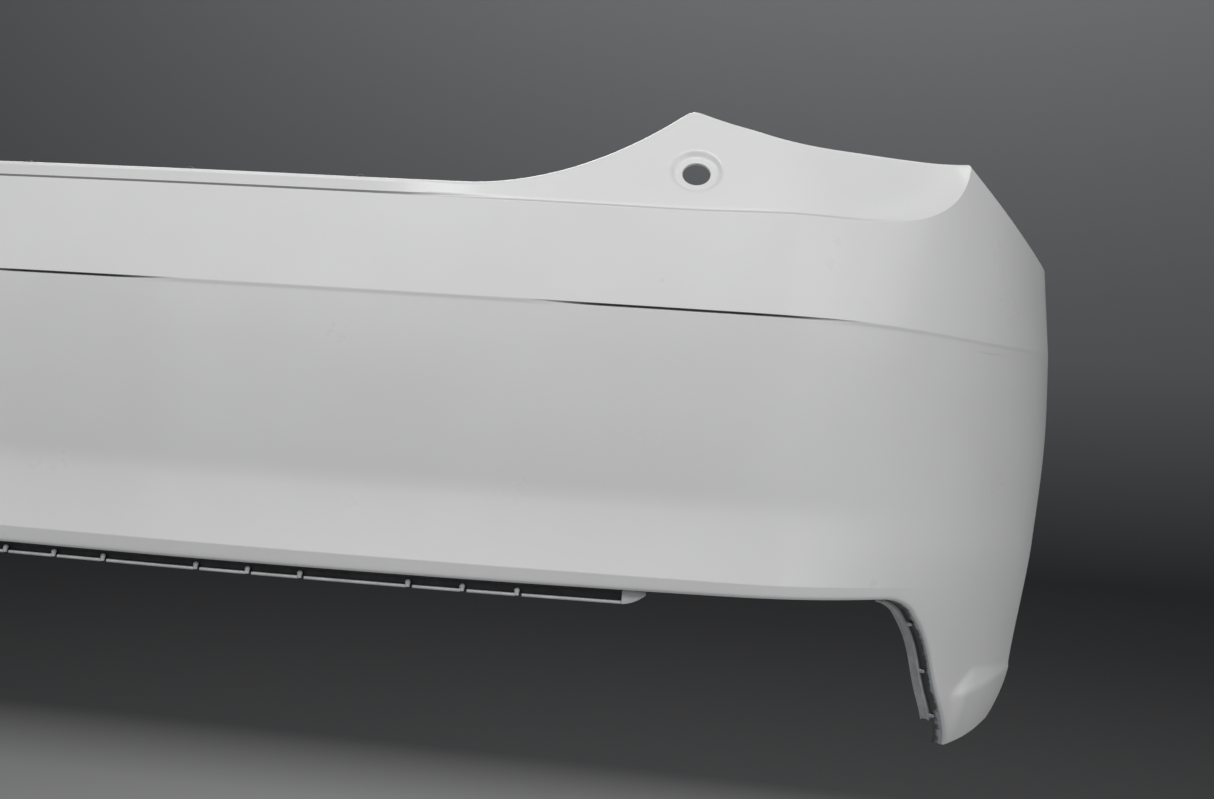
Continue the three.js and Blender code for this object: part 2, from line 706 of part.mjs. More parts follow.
const STRIP_T = [-0.4, 0.8];  // the strip's ends, as shares of the leg's inner edge
const STRIP_D = [14.6, 24];   // its depth behind the skin's face
const STRIP_OFF = [1.1, 3.7]; // its distance off the return's face
const RIB_T = [0.1, 0.44, 0.77];
const RIB_D = [9.5, 15.5];
const RIB_OFF = [1.1, 2.7];
const HALF_RIB = 0.01;
const STRIP_RUN_IN = 60;      // length along the bottom edge that t = -1 would stand for

// (s, h) on the leg's inner edge, and for t < 0 on the bottom edge ahead of it.
function stripPath(t) {
  if (t >= 0) return legInner(t);
  const s = LEG_S + STRIP_RUN_IN * t;
  return [s, bottomEdge(s)];
}

// The trim strip behind the leg's return, with three ribs that lie on the return.
function legRail() {
  const bar = (from, to, steps, [low, high], [shallow, deep]) => {
    const rings = [];
    for (let i = 0; i <= steps; i += 1) {
      const t = mix(from, to, i / steps);
      const [s, h] = stripPath(t);
      const ahead = stripPath(t + HALF_RIB);
      const behind = stripPath(t - HALF_RIB);
      const way = new THREE.Vector2(ahead[0] - behind[0], ahead[1] - behind[1]).normalize();
      rings.push([[low, shallow], [high, shallow], [high, deep], [low, deep]].map(
        ([away, d]) => at(s + way.y * away, relief(s, h) + d, h - way.x * away),
      ));
    }
    return loft(rings);
  };
  let solid = toManifold(bar(...STRIP_T, 20, STRIP_OFF, STRIP_D));
  for (const t of RIB_T) solid = solid.add(toManifold(bar(t - HALF_RIB, t + HALF_RIB, 1, RIB_OFF, RIB_D)));
  return fromManifold(solid);
}

const CLIP_SLACK = 1.6;       // room between the clip and the return it grips
const CLIP_SHEET = 1;
const CLIP_REACH = 7;         // how far it grips
const CLIP_HALF_WIDTH = 7;
const BARREL_RADIUS = 3.2;
const BARREL_LENGTH = 4.2;

// A spring-steel nut pushed over a return, at a place with three directions of its own:
// into the car, along the return, and away from the panel.
function clipNut(place, inwards, along) {
  const away = new THREE.Vector3().crossVectors(inwards, along).normalize();
  const reach = RETURN_DEPTH + CLIP_SLACK;
  const back = RETURN_DEPTH - CLIP_REACH;
  const above = CLIP_SLACK;
  const below = -SKIN - CLIP_SLACK;
  const bend = reach + CLIP_SHEET;
  const outline = [
    [back, above], [reach, above], [reach, below], [back, below], [back, below - CLIP_SHEET],
    [bend, below - CLIP_SHEET], [bend, above + CLIP_SHEET], [back, above + CLIP_SHEET],
  ];
  const ring = (offset) => outline.map(([n, b]) => place.clone()
    .addScaledVector(inwards, n).addScaledVector(away, b).addScaledVector(along, offset));
  const clip = toManifold(loft([ring(-CLIP_HALF_WIDTH), ring(CLIP_HALF_WIDTH)]));
  const barrel = new THREE.CylinderGeometry(BARREL_RADIUS, BARREL_RADIUS, BARREL_LENGTH, 16);
  barrel.applyQuaternion(new THREE.Quaternion().setFromUnitVectors(new THREE.Vector3(0, 1, 0), away));
  const drop = below - CLIP_SHEET / 3 - BARREL_LENGTH / 2;
  const seat = place.clone().addScaledVector(inwards, RETURN_DEPTH - CLIP_REACH / 2);
  seat.addScaledVector(away, drop);
  barrel.translate(seat.x, seat.y, seat.z);
  return fromManifold(clip.add(toManifold(barrel)));
}

const inwardsAt = (s) => at(s, 1, 0).sub(at(s, 0, 0)).normalize();

// Clip nut on an edge of the skin, where edge(t) gives the edge's (s, h), at t.
function edgeClipNut(edge, t, step) {
  const [s, h] = edge(t);
  const inwards = inwardsAt(s);
  const along = onSkin(...edge(t + step)).sub(onSkin(...edge(t - step)));
  along.addScaledVector(inwards, -along.dot(inwards)).normalize();
  return clipNut(onSkin(s, h), inwards, along);
}

const ARCH_CLIP_H = [70, 170, 270];
const FOOT_CLIP = 0.4;        // its place along the leg's bottom edge
const archEdge = (h) => [forwardEdge(h), h];

// ---------------------------------------------------------------- assembly
const paint = { color: 0xe4e6e6, roughness: 0.28, metalness: 0 };
const blackPlastic = { color: 0x1b1c1d, roughness: 0.6, metalness: 0 };
const greyPlastic = { color: 0x6f7272, roughness: 0.55, metalness: 0 };
const springSteel = { color: 0x8b8f92, roughness: 0.4, metalness: 1 };
const foam = { color: 0x2b2c2e, roughness: 0.95, metalness: 0 };

function piece(name, geometry, look) {
  const mesh = new THREE.Mesh(geometry, new THREE.MeshStandardMaterial(look));
  mesh.name = name;
  return mesh;
}

// The same piece on both sides: the left one is the right one's mirror image.
function pair(name, geometry, look) {
  const right = piece(`${name}_right`, geometry, look);
  const left = piece(`${name}_left`, geometry, look);
  left.scale.x = -1;
  return [right, left];
}

const bumper = new THREE.Group();
bumper.add(piece('bumper_skin', bumperSkin(), paint));
bumper.add(piece('lower_rail', lowerRail(), greyPlastic));
bumper.add(piece('upper_retainer', upperRetainer(), blackPlastic));
RIVET_S.forEach((s, i) => bumper.add(piece(`sill_rivet_${i + 1}`, sillRivet(s), blackPlastic)));
bumper.add(...pair('rail_end', railEnd(), greyPlastic));
bumper.add(...pair('leg_rail', legRail(), greyPlastic));
bumper.add(...pair('side_guide', sideGuide(), blackPlastic));
bumper.add(...pair('lamp_guide', lampGuide(), blackPlastic));
bumper.add(...pair('lamp_foam', lampFoam(), foam));
ARCH_CLIP_H.forEach((h, i) => {
  bumper.add(...pair(`arch_clip_nut_${i + 1}`, edgeClipNut(archEdge, h, 2), springSteel));
});
bumper.add(...pair('leg_clip_nut', edgeClipNut(legFoot, FOOT_CLIP, 0.05), springSteel));

// The origin is on top of the retainer's flange, on the centre plane.
const sill = at(0, RIVET_D, SILL_TOP_H);
bumper.position.copy(sill).negate();

const part = new THREE.Group();
part.add(bumper);

export default part;
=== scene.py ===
import math

import bpy
import numpy as np
from mathutils import Matrix, Vector


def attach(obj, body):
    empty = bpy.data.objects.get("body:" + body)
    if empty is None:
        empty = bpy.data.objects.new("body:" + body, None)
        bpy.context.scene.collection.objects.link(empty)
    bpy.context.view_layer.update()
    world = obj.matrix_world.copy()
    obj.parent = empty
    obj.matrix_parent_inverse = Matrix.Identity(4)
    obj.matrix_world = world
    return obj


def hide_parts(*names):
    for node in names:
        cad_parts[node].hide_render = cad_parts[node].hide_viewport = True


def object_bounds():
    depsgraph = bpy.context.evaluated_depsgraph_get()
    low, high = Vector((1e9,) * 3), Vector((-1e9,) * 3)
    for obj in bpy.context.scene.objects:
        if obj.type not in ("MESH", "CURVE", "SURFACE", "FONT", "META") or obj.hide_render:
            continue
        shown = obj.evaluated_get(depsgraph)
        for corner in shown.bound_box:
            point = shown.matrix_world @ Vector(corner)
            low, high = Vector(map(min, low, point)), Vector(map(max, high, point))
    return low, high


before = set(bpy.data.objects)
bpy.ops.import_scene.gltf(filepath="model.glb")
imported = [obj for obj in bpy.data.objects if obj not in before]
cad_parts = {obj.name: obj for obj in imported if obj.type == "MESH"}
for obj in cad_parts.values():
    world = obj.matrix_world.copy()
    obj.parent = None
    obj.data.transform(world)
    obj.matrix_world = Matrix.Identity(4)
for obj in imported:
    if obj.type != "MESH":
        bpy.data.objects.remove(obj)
cad_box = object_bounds()

# The bumper cover is worked out in millimetres, in the CAD source's own terms:
#   s  arc length along the plan curve from the centre plane (negative on the left),
#   h  height above the underside reference,
#   d  distance inwards from the plan curve.
# ORIGIN is the row frame's origin in those terms: the top of the retainer's flange.
MM = 0.001
ORIGIN = np.array([0.0, 66.0, 445.1])

WALL = 2.6                    # the skin's wall
GAP = 0.4
ROLL = 3.0                    # radius where the skin turns into its returns
RETURN_DEPTH = 14.0

CENTRE_RADIUS, CORNER_RADIUS, SIDE_RADIUS = 3600.0, 175.0, 478.0
CORNER_IN, CORNER_OUT = (574.0, 608.0), (620.0, 741.0)
SIDE_END = 1105.0
ARCH_RADIUS, ARCH_S, ARCH_H = 380.0, 1360.0, 20.0
CREASE_H, CREASE_DROP = 351.0, 6.0
SHELF_H, LIP_TOP_H, LIP_END_S = 433.0, 448.5, 340.0
HORN_S, HORN_H, HORN_ROUND = 532.0, 527.5, 8.0
LAMP_EDGE_H, LAMP_FLAT_S, LAMP_CORNER_S = 500.0, 705.0, 822.0
SEAM_LOW_S, SEAM_LOW_H = 1060.0, 433.0
LAMP_CURVE = 2.3
HOLE_S, HOLE_H, HOLE_RADIUS, DISH_DEPTH = 538.8, 469.6, 12.0, 3.8
LEG_S, LEG_H, LEG_TIP_H, LEG_LEAN, LEG_HEEL_H = 775.0, 108.0, -20.0, 93.0, -10.0
LEG_TURN_S, LEG_LENGTH = 735.0, 124.0
BOTTOM_H, BOTTOM_RISE, BOTTOM_RISE_S = 114.0, 3.8, 700.0
LEG_TURN_CURVE, LEG_BOW, FOOT_CURVE = 2.5, 0.08, 1.1
LIP_CREASE_H = 128.5

CREASE_DROP_S = (660, 900)    # pairs of s or h like this one are where a change starts and ends
SHELF_RISE, SHELF_RISE_S = 2.5, (520, 640)
SHELF_CLIMB, SHELF_CLIMB_S, SHELF_CLIMB_CURVE, SHELF_CLIMB_END = 64.0, 650.0, 3, 0.55

CENTRE_FADE_S, FAR_FADE_S = (560, 820), (850, 1050)
BITE_STOPS_S, BITE_STARTS_S, BITE_ENDS_S = (40, 105), (405, 470), (600, 700)
UNDERCUT, UNDERCUT_FALL = 0.6, (0, 4)
GROOVE, GROOVE_FALL, GROOVE_LIFT, GROOVE_LIFT_FALL = 3.2, (0, 0.4), 1.6, (0.8, 2.6)
WAIST, WAIST_FALL, WAIST_CURVE = 11.0, 160.0, 1.7
FLARE, FLARE_H, FLARE_CURVE, LIP_UNDER_SLOPE = 7.0, 198.0, 1.7, 0.21
NEAR_UNDERCUT_SHARE, NEAR_WAIST = 0.8, 2.0
FAR_OUT, BELLY_RISE, BELLY_H, BELLY_SPAN = 0.8, 3.2, 195.0, 150.0
SIDE_TUCK, SIDE_TUCK_H = 11.0, (165, 5)

SIDE_TILT, FAR_TILT, BAND_TILT, FAR_STEP = 0.07, 0.105, 0.212, 2.4
HORN_LEAN, LIP_LEAN, LIP_FADE_S = 0.65, 0.1, (230, 400)
LIP_STEP, LIP_EDGE, LIP_GROOVE, LIP_GROOVE_END = 15.0, (0, 0.9), 3.0, (2.2, 3.8)
POCKET_S, POCKET_STEP, POCKET_WIDTH = (600, 790), (0.3, 4.0), (1.6, 26)
NOTCH, NOTCH_END = 0.3, (1.6, 4.0)

FACET_S, FACET_H = 845.0, 27.0
LEDGE_RISE, LEDGE_LENGTH = 16.0, 130.0
FACET_CLIMB, FACET_CLIMB_LENGTH, FACET_TOP_H, FACET_TOP_FALL = 24.0, 40.0, 51.5, 3.5
FACET_OUT, FACET_STARTS_S, FACET_TOP_S = 5.0, (846, 872), (890, 975)
FACET_FADE, FACET_FADE_S = 0.85, (890, 985)
FOOT_SLOPE, FOOT_ROUND, FOOT_DROP, FOOT_TUCK_S = 0.1, 13.0, 54.0, (815, 870)


# ------------------------------------------------------------------ plan curve and outline
def smooth(start, end, x):
    t = np.clip((np.asarray(x, float) - start) / (end - start), 0, 1)
    return t * t * (3 - 2 * t)


def mix(a, b, t):
    return a + (b - a) * t


def plan_table():
    s = np.arange(0, SIDE_END + 60)
    middle = s[:-1] + 0.5
    curvature = (1 / CENTRE_RADIUS
                 + (1 / CORNER_RADIUS - 1 / CENTRE_RADIUS) * smooth(*CORNER_IN, middle)
                 + (1 / SIDE_RADIUS - 1 / CORNER_RADIUS) * smooth(*CORNER_OUT, middle))
    heading = np.concatenate([[0], np.cumsum(curvature)])
    half = heading[:-1] + curvature / 2
    x = np.concatenate([[0], np.cumsum(np.cos(half))])
    y = np.concatenate([[0], np.cumsum(np.sin(half))])
    return s, x, y, heading


PLAN_S, PLAN_X, PLAN_Y, PLAN_HEADING = plan_table()


def at(s, d, h):
    """Where (s, d, h) is, in millimetres."""
    s, d, h = np.broadcast_arrays(*(np.asarray(v, float) for v in (s, d, h)))
    side = np.where(s < 0, -1.0, 1.0)
    heading = np.interp(abs(s), PLAN_S, PLAN_HEADING)
    x = side * (np.interp(abs(s), PLAN_S, PLAN_X) - np.sin(heading) * d)
    y = np.interp(abs(s), PLAN_S, PLAN_Y) + np.cos(heading) * d
    return np.stack([x, y, h], -1)


def top_edge(s):
    s = np.asarray(s, float)
    horn = LIP_TOP_H + (HORN_H - LIP_TOP_H) * (np.maximum(s - LIP_END_S, 0) / (HORN_S - LIP_END_S)) ** 2
    slope = np.maximum(LAMP_FLAT_S - s, 0) / (LAMP_FLAT_S - HORN_S)
    outer = LAMP_EDGE_H + (HORN_H - LAMP_EDGE_H) * slope ** LAMP_CURVE
    near = np.maximum(HORN_ROUND - abs(horn - outer), 0) / HORN_ROUND
    lamp = np.minimum(horn, outer) - near ** 2 * HORN_ROUND / 4
    fall = np.maximum(SEAM_LOW_S - s, 0) / (SEAM_LOW_S - LAMP_CORNER_S)
    seam = SEAM_LOW_H + (LAMP_EDGE_H - SEAM_LOW_H) * fall ** 2
    return np.where(s < LAMP_CORNER_S, lamp, seam)


def bottom_edge(s):
    s = np.asarray(s, float)
    rise = BOTTOM_H + BOTTOM_RISE * (s / BOTTOM_RISE_S) ** 2
    reach = LEG_S - LEG_TURN_S
    turn = (np.clip(s - LEG_TURN_S, 0, reach) / reach) ** LEG_TURN_CURVE
    return mix(rise, LEG_H, turn) * (s <= LEG_S) + LEG_H * (s > LEG_S)


def forward_edge(h):
    up = np.minimum(abs(np.asarray(h, float) - ARCH_H), ARCH_RADIUS)
    return np.minimum(SIDE_END, ARCH_S - np.sqrt(ARCH_RADIUS ** 2 - up ** 2))


def crease_height(s):
    return CREASE_H - CREASE_DROP * smooth(*CREASE_DROP_S, s)


def shelf_height(s):
    s = np.asarray(s, float)
    along = np.clip((s - SHELF_CLIMB_S) / (LAMP_CORNER_S - SHELF_CLIMB_S), 0, 1)
    climb = SHELF_CLIMB * (1 - (1 - along ** SHELF_CLIMB_CURVE) ** SHELF_CLIMB_END)
    return np.minimum(SHELF_H + SHELF_RISE * smooth(*SHELF_RISE_S, s) + climb, top_edge(s))


# ------------------------------------------------------------------ relief of the skin
def centre_share(s):
    return 1 - smooth(*CENTRE_FADE_S, s)


def far_share(s):
    return smooth(*FAR_FADE_S, s)


def crease_bite(s):
    """How sharply the skin is undercut below the crease: in the middle, and ahead of the corner."""
    sharp = 1 - smooth(*BITE_STOPS_S, s) + smooth(*BITE_STARTS_S, s) - smooth(*BITE_ENDS_S, s)
    return np.clip(sharp, 0.0, 1)


def leg_facet(s, h):
    """Distance inwards taken off by the bright facet near the foot of the leg, and its undercut."""
    ledge = FACET_H + LEDGE_RISE * (s - FACET_S) / LEDGE_LENGTH
    climb = FACET_H + FACET_CLIMB * np.maximum(s - FACET_S, 0) / FACET_CLIMB_LENGTH
    top = np.minimum(climb, FACET_TOP_H - FACET_TOP_FALL * smooth(*FACET_TOP_S, s))
    span = np.maximum(top - ledge, 1)
    present = smooth(*FACET_STARTS_S, s) * (1 - FACET_FADE * smooth(*FACET_FADE_S, s))
    out = FACET_OUT * present * np.clip((top - h) / span, 0, 1)
    below = np.maximum(ledge - h, 0)
    tuck = (FOOT_SLOPE * below + FOOT_ROUND * (below / FOOT_DROP) ** 2) * smooth(*FOOT_TUCK_S, s)
    return tuck - out


def lower_relief(s, h):
    fall = np.maximum(crease_height(s) - h, 0)
    bite = crease_bite(s)
    groove = GROOVE * smooth(*GROOVE_FALL, fall) - GROOVE_LIFT * smooth(*GROOVE_LIFT_FALL, fall)
    undercut = mix(UNDERCUT * smooth(*UNDERCUT_FALL, fall), groove, bite)
    drop = np.minimum(1, fall / WAIST_FALL)
    waist = WAIST * drop ** WAIST_CURVE
    flare_span = FLARE_H - LIP_CREASE_H
    flare = -FLARE * (np.clip(FLARE_H - h, 0, flare_span) / flare_span) ** FLARE_CURVE
    under = LIP_UNDER_SLOPE * np.maximum(0, LIP_CREASE_H - h)
    rear = undercut + waist + flare + under
    near = undercut * NEAR_UNDERCUT_SHARE + NEAR_WAIST * drop
    far = -FAR_OUT + BELLY_RISE * (np.clip(h - BELLY_H, 0, BELLY_SPAN) / BELLY_SPAN) ** 2
    side = mix(near, far, far_share(s)) + SIDE_TUCK * smooth(*SIDE_TUCK_H, h) + leg_facet(s, h)
    return mix(side, rear, centre_share(s))


def upper_relief(s, h):
    crease, shelf = crease_height(s), shelf_height(s)
    tilt = mix(mix(SIDE_TILT, FAR_TILT, far_share(s)), BAND_TILT, centre_share(s))
    band = tilt * (np.minimum(h, shelf) - crease) + FAR_STEP * far_share(s)
    over = np.maximum(h - shelf, 0)
    slope = (shelf_height(s + 1) - shelf_height(s - 1)) / 2
    across = over / np.sqrt(1 + slope ** 2)
    lip = 1 - smooth(*LIP_FADE_S, s)
    edge = smooth(*LIP_EDGE, over)
    valley = lip * (LIP_STEP * edge + LIP_GROOVE * edge * (1 - smooth(*LIP_GROOVE_END, over)))
    outboard = smooth(*POCKET_S, s)
    step = mix(*POCKET_STEP, outboard) * smooth(0, 1, across / mix(*POCKET_WIDTH, outboard))
    notch = NOTCH * (1 - outboard) * edge * (1 - smooth(*NOTCH_END, over))
    lean = mix(HORN_LEAN, LIP_LEAN, lip) * over
    return band + valley + (1 - lip) * (step + notch) + lean


def relief(s, h):
    s = abs(np.asarray(s, float))
    return np.where(h <= crease_height(s), lower_relief(s, h), upper_relief(s, h))


# ------------------------------------------------------------------ the skin's grid
ROLL_STEPS = ROLL * (1 - np.sin(np.radians([90, 67.5, 45, 22.5, 0])))
SIDE_STEPS, LEG_STEPS = 43, 43
HOLE_COLUMNS = (508, 570)     # the columns and horn rows that the dish's rings replace
HOLE_ROWS = (0, 11)
LOW_SHARES, LEVEL_START_H = (0.35, 0.7), 126.0
LIP_ROWS_H = [126, 127.2, 127.9, 128.5, 129.1, 130.2, 132, 135, 138, 142, 146, 150, 154, 158, 163, 168]
BODY_ROWS_H = range(174, 338, 9)
CREASE_ROWS = [-10, -7.5, -5.6, -4.2, -3.1, -2.4, -1.8, -1.3, -0.8, -0.4, 0, 0.4, 1, 2, 4, 8]
UNDER_SHELF_ROWS = (4, 2.5, 1.5, 0.8, 0.3, 0)
SHELF_ROWS = (0.3, 0.6, 0.9, 1.4, 1.9, 2.4, 3.0, 3.8, 5.0)
SHELF_MARGIN, SHELF_ROOM, LEAST_SQUEEZE = 5, 7, 0.1


def row_specs():
    specs = [("bottom", e) for e in ROLL_STEPS]
    specs += [("low", f) for f in LOW_SHARES]
    specs += [("level", h) for h in LIP_ROWS_H + list(BODY_ROWS_H)]
    specs += [("crease", o) for o in CREASE_ROWS]
    specs += [("band", f) for f in np.arange(1, 9) / 9]
    specs += [("under_shelf", o) for o in UNDER_SHELF_ROWS]
    specs += [("shelf", o) for o in SHELF_ROWS]
    specs += [("horn", f) for f in np.arange(1, 15) / 15]
    specs += [("top", e) for e in ROLL_STEPS[::-1]]
    return specs


ROWS = row_specs()
HORN_ROWS = [i for i, (zone, _) in enumerate(ROWS) if zone == "horn"]


def row_height(spec, s):
    zone, value = spec
    bottom, crease, top = bottom_edge(s), crease_height(s), top_edge(s)
    shelf = np.minimum(shelf_height(s), top - SHELF_MARGIN)
    squeeze = np.clip((top - ROLL - shelf) / SHELF_ROOM, LEAST_SQUEEZE, 1)
    if zone == "bottom":
        return bottom + value
    if zone == "low":
        return mix(bottom + ROLL, LEVEL_START_H, value)
    if zone == "level":
        return np.full_like(np.asarray(s, float), value)
    if zone == "crease":
        return crease + value
    if zone == "band":
        return mix(crease + CREASE_ROWS[-1], shelf - UNDER_SHELF_ROWS[0], value)
    if zone == "under_shelf":
        return shelf - value
    if zone == "shelf":
        return shelf + value * squeeze
    if zone == "horn":
        return mix(shelf + SHELF_ROWS[-1] * squeeze, top - ROLL, value)
    return top - value


def rear_columns():
    spans = [(0, 480, 40), (480, 508, 6), (508, 570, 15), (570, 700, 22), (700, 760, 10)]
    columns = [0.0]
    for start, end, count in spans:
        columns += list(np.linspace(start, end, count + 1)[1:])
    columns += [764, 768, 771, 773, LEG_S - ROLL_STEPS[3], LEG_S - ROLL_STEPS[2], LEG_S]
    columns += [LEG_S + e for e in ROLL_STEPS[1:]]
    columns += list(np.linspace(LEG_S + 7, LAMP_CORNER_S - 3, 8))
    return np.array(columns + [LAMP_CORNER_S])


def side_place(share, roll, h):
    """s of a side column at height h: a share of the way to the forward edge, less the roll."""
    end = forward_edge(h)
    return np.where(roll >= 0, end - roll, mix(LAMP_CORNER_S, end - ROLL, share))


def main_grid():
    """(s, h) of the skin above the legs' roots: columns from the centre plane to the arch."""
    rear = rear_columns()
    shares = np.concatenate([np.linspace(0, 1, SIDE_STEPS + 1)[1:], np.ones(len(ROLL_STEPS) - 1)])
    rolls = np.concatenate([-np.ones(SIDE_STEPS), ROLL_STEPS[::-1][1:]])
    grid = np.zeros((len(rear) + len(shares), len(ROWS), 2))
    for row, spec in enumerate(ROWS):
        grid[:len(rear), row, 0] = rear
        grid[:len(rear), row, 1] = row_height(spec, rear)
        h = np.full(len(shares), 250.0)
        for _ in range(30):
            h = mix(h, row_height(spec, side_place(shares, rolls, h)), 0.7)
        grid[len(rear):, row, 0] = side_place(shares, rolls, h)
        grid[len(rear):, row, 1] = h
    return grid


def leg_inner(t):
    bow = LEG_BOW * np.sin(2 * math.pi * t) * (1 - t)
    return np.stack([LEG_S + LEG_LEAN * (t + bow), mix(LEG_H, LEG_TIP_H, t)], -1)


def leg_bottom(u):
    heel = forward_edge(LEG_HEEL_H)
    return np.stack([mix(LEG_S + LEG_LEAN, heel, u), mix(LEG_TIP_H, LEG_HEEL_H, u ** FOOT_CURVE)], -1)


def leg_grid(root):
    """(s, h) of the leg, as a patch between its root row and its three free edges."""
    t = np.linspace(0, 1 - ROLL / LEG_LENGTH, LEG_STEPS + 1)[1:]
    t = np.concatenate([t, 1 - ROLL_STEPS[::-1][1:] / LEG_LENGTH])
    u = (root[:, 0] - LEG_S) / (root[-1, 0] - LEG_S)
    h = mix(LEG_H, LEG_HEEL_H, t)
    outer = np.stack([forward_edge(h), h], -1)
    t3, u3 = t[:, None, None], u[None, :, None]
    tip, heel = leg_bottom(np.array(0.0)), leg_bottom(np.array(1.0))
    sides = mix(leg_inner(t)[:, None], outer[:, None], u3)
    ends = mix(root[None], leg_bottom(u)[None], t3)
    corners = mix(mix(root[0], root[-1], u3), mix(tip, heel, u3), t3)
    return sides + ends - corners


def outline():
    """The right half's free edge as a dense line of (s, h)."""
    s = np.linspace(0, LEG_S, 1200)
    t = np.linspace(0, 1, 200)
    arch = np.linspace(LEG_HEEL_H, SEAM_LOW_H, 600)
    back = np.linspace(SIDE_END, 0, 1600)
    back = np.unique(np.concatenate([back, [LAMP_CORNER_S, HORN_S]]))[::-1]
    parts = [np.stack([s, bottom_edge(s)], -1), leg_inner(t), leg_bottom(t),
             np.stack([forward_edge(arch), arch], -1), np.stack([back, top_edge(back)], -1)]
    return np.concatenate(parts)


def edge_distance(places):
    line = outline()
    start, run = line[:-1], np.diff(line, axis=0)
    length2 = np.maximum((run ** 2).sum(-1), 1e-9)
    best = np.full(len(places), 1e9)
    for low in range(0, len(places), 2000):
        chunk = places[low:low + 2000]
        along = np.clip(((chunk[:, None] - start) * run).sum(-1) / length2, 0, 1)
        gap = chunk[:, None] - (start + along[..., None] * run)
        best[low:low + 2000] = np.sqrt((gap ** 2).sum(-1).min(-1))
    return best


# ------------------------------------------------------------------ the dished hole
def horn_normal():
    def face(s, h):
        return at(s, relief(s, h), h)

    centre = face(HOLE_S, HOLE_H)
    along = face(HOLE_S + 4, HOLE_H) - face(HOLE_S - 4, HOLE_H)
    up = face(HOLE_S, HOLE_H + 4) - face(HOLE_S, HOLE_H - 4)
    normal = np.cross(along, up)
    return centre, normal / np.linalg.norm(normal)


# Radius and depth of the dish's rings, from outside the dish to the back of its hole.
DISH_RINGS = [
    (27.0, 0), (25.0, 0.0), (23.6, 0.1), (22.7, 0.35), (22.0, 0.75), (21.2, 1.4), (20.2, 2.25),
    (19.3, 2.95), (18.5, 3.45), (17.5, 3.72), (16.4, DISH_DEPTH), (14.0, DISH_DEPTH),
    (12.9, DISH_DEPTH + 0.05),
    (12.3, DISH_DEPTH + 0.3), (HOLE_RADIUS, DISH_DEPTH + 0.8), (HOLE_RADIUS, DISH_DEPTH + WALL),
]


# ------------------------------------------------------------------ the skin's mesh
class Sheet:
    """Points as (s, h), each one's depth below the skin's face, and four-sided cells."""

    def __init__(self):
        self.places, self.sink, self.cells = [], [], []

    def add(self, places, sink=0.0):
        first = len(self.places)
        self.places += [tuple(p) for p in places]
        self.sink += [sink] * len(places)
        return list(range(first, len(self.places)))


def half_sheet():
    """The right half of the outer face, with the dished hole let into the horn."""
    grid = main_grid()
    sheet = Sheet()
    columns, rows = grid.shape[:2]
    sheet.add(grid.reshape(-1, 2))
    rear = list(np.round(rear_columns(), 3))
    left, right = (rear.index(s) for s in HOLE_COLUMNS)
    low, high = (HORN_ROWS[r] for r in HOLE_ROWS)
    for c in range(columns - 1):
        for r in range(rows - 1):
            if left <= c < right and low <= r < high:
                continue
            a = c * rows + r
            sheet.cells.append((a, a + rows, a + rows + 1, a + 1))
    loop = [(c, low) for c in range(left, right)] + [(right, r) for r in range(low, high)]
    loop += [(c, high) for c in range(right, left, -1)] + [(left, r) for r in range(high, low, -1)]
    add_dish(sheet, [c * rows + r for c, r in loop])
    first = rear.index(LEG_S)
    above = [c * rows for c in range(first, columns)]
    for row in leg_grid(grid[first:, 0]):
        here = sheet.add(row)
        for i in range(len(here) - 1):
            sheet.cells.append((here[i], here[i + 1], above[i + 1], above[i]))
        above = here
    return sheet


def add_dish(sheet, loop):
    """Rings from a loop of grid points in to the hole, centred on it."""
    centre = np.array([HOLE_S, HOLE_H])
    squash = np.array([1.0, 1 / math.hypot(1, HORN_LEAN)])
    spread = (np.array([sheet.places[i] for i in loop]) - centre) / squash
    angle = np.arctan2(spread[:, 1], spread[:, 0])
    reach = np.hypot(spread[:, 0], spread[:, 1])
    way = np.stack([np.cos(angle), np.sin(angle)], -1)
    rings = [(mix(reach, DISH_RINGS[0][0], t), 0.0) for t in (0.35, 0.7)]
    rings += [(np.full(len(loop), r), depth) for r, depth in DISH_RINGS]
    outside = loop
    for radius, depth in rings:
        inside = sheet.add(centre + way * radius[:, None] * squash, sink=depth)
        for i in range(len(loop)):
            j = (i + 1) % len(loop)
            sheet.cells.append((outside[i], outside[j], inside[j], inside[i]))
        outside = inside


# Painted shade: dark colour laid along the undercut below the mid crease, the shelf line and the lip's
# valley, in place of the shadow these tight creases show.
CREASE_PAINTED_SHADE_STARTS, CREASE_PAINTED_SHADE_ENDS = (0.1, 0.5), (1.4, 2.6)
SHELF_PAINTED_SHADE_STARTS, SHELF_PAINTED_SHADE_ENDS = (0.1, 0.4), (1.2, 2.4)
LIP_PAINTED_SHADE, HORN_PAINTED_SHADE, LIP_PAINTED_SHADE_ENDS_S, HORN_PAINTED_SHADE_ENDS_S = 0.75, 0.3, (250, 360), (640, 760)


def painted_crease_shade_at(s, h):
    """How much painted shade darkens the creases at (s, h): 0 to 1."""
    s = abs(s)
    fall = crease_height(s) - h
    shelf = shelf_height(s)
    over = (h - shelf) * (s < LAMP_CORNER_S)
    below = smooth(*CREASE_PAINTED_SHADE_STARTS, fall) * (1 - smooth(*CREASE_PAINTED_SHADE_ENDS, fall))
    under_crease = crease_bite(s) * below
    band = smooth(*SHELF_PAINTED_SHADE_STARTS, over) * (1 - smooth(*SHELF_PAINTED_SHADE_ENDS, over))
    outboard = smooth(*LIP_PAINTED_SHADE_ENDS_S, s)
    lip = LIP_PAINTED_SHADE * (1 - outboard) + HORN_PAINTED_SHADE * outboard * (1 - smooth(*HORN_PAINTED_SHADE_ENDS_S, s))
    return np.clip(np.maximum(under_crease, band * lip), 0, 1)


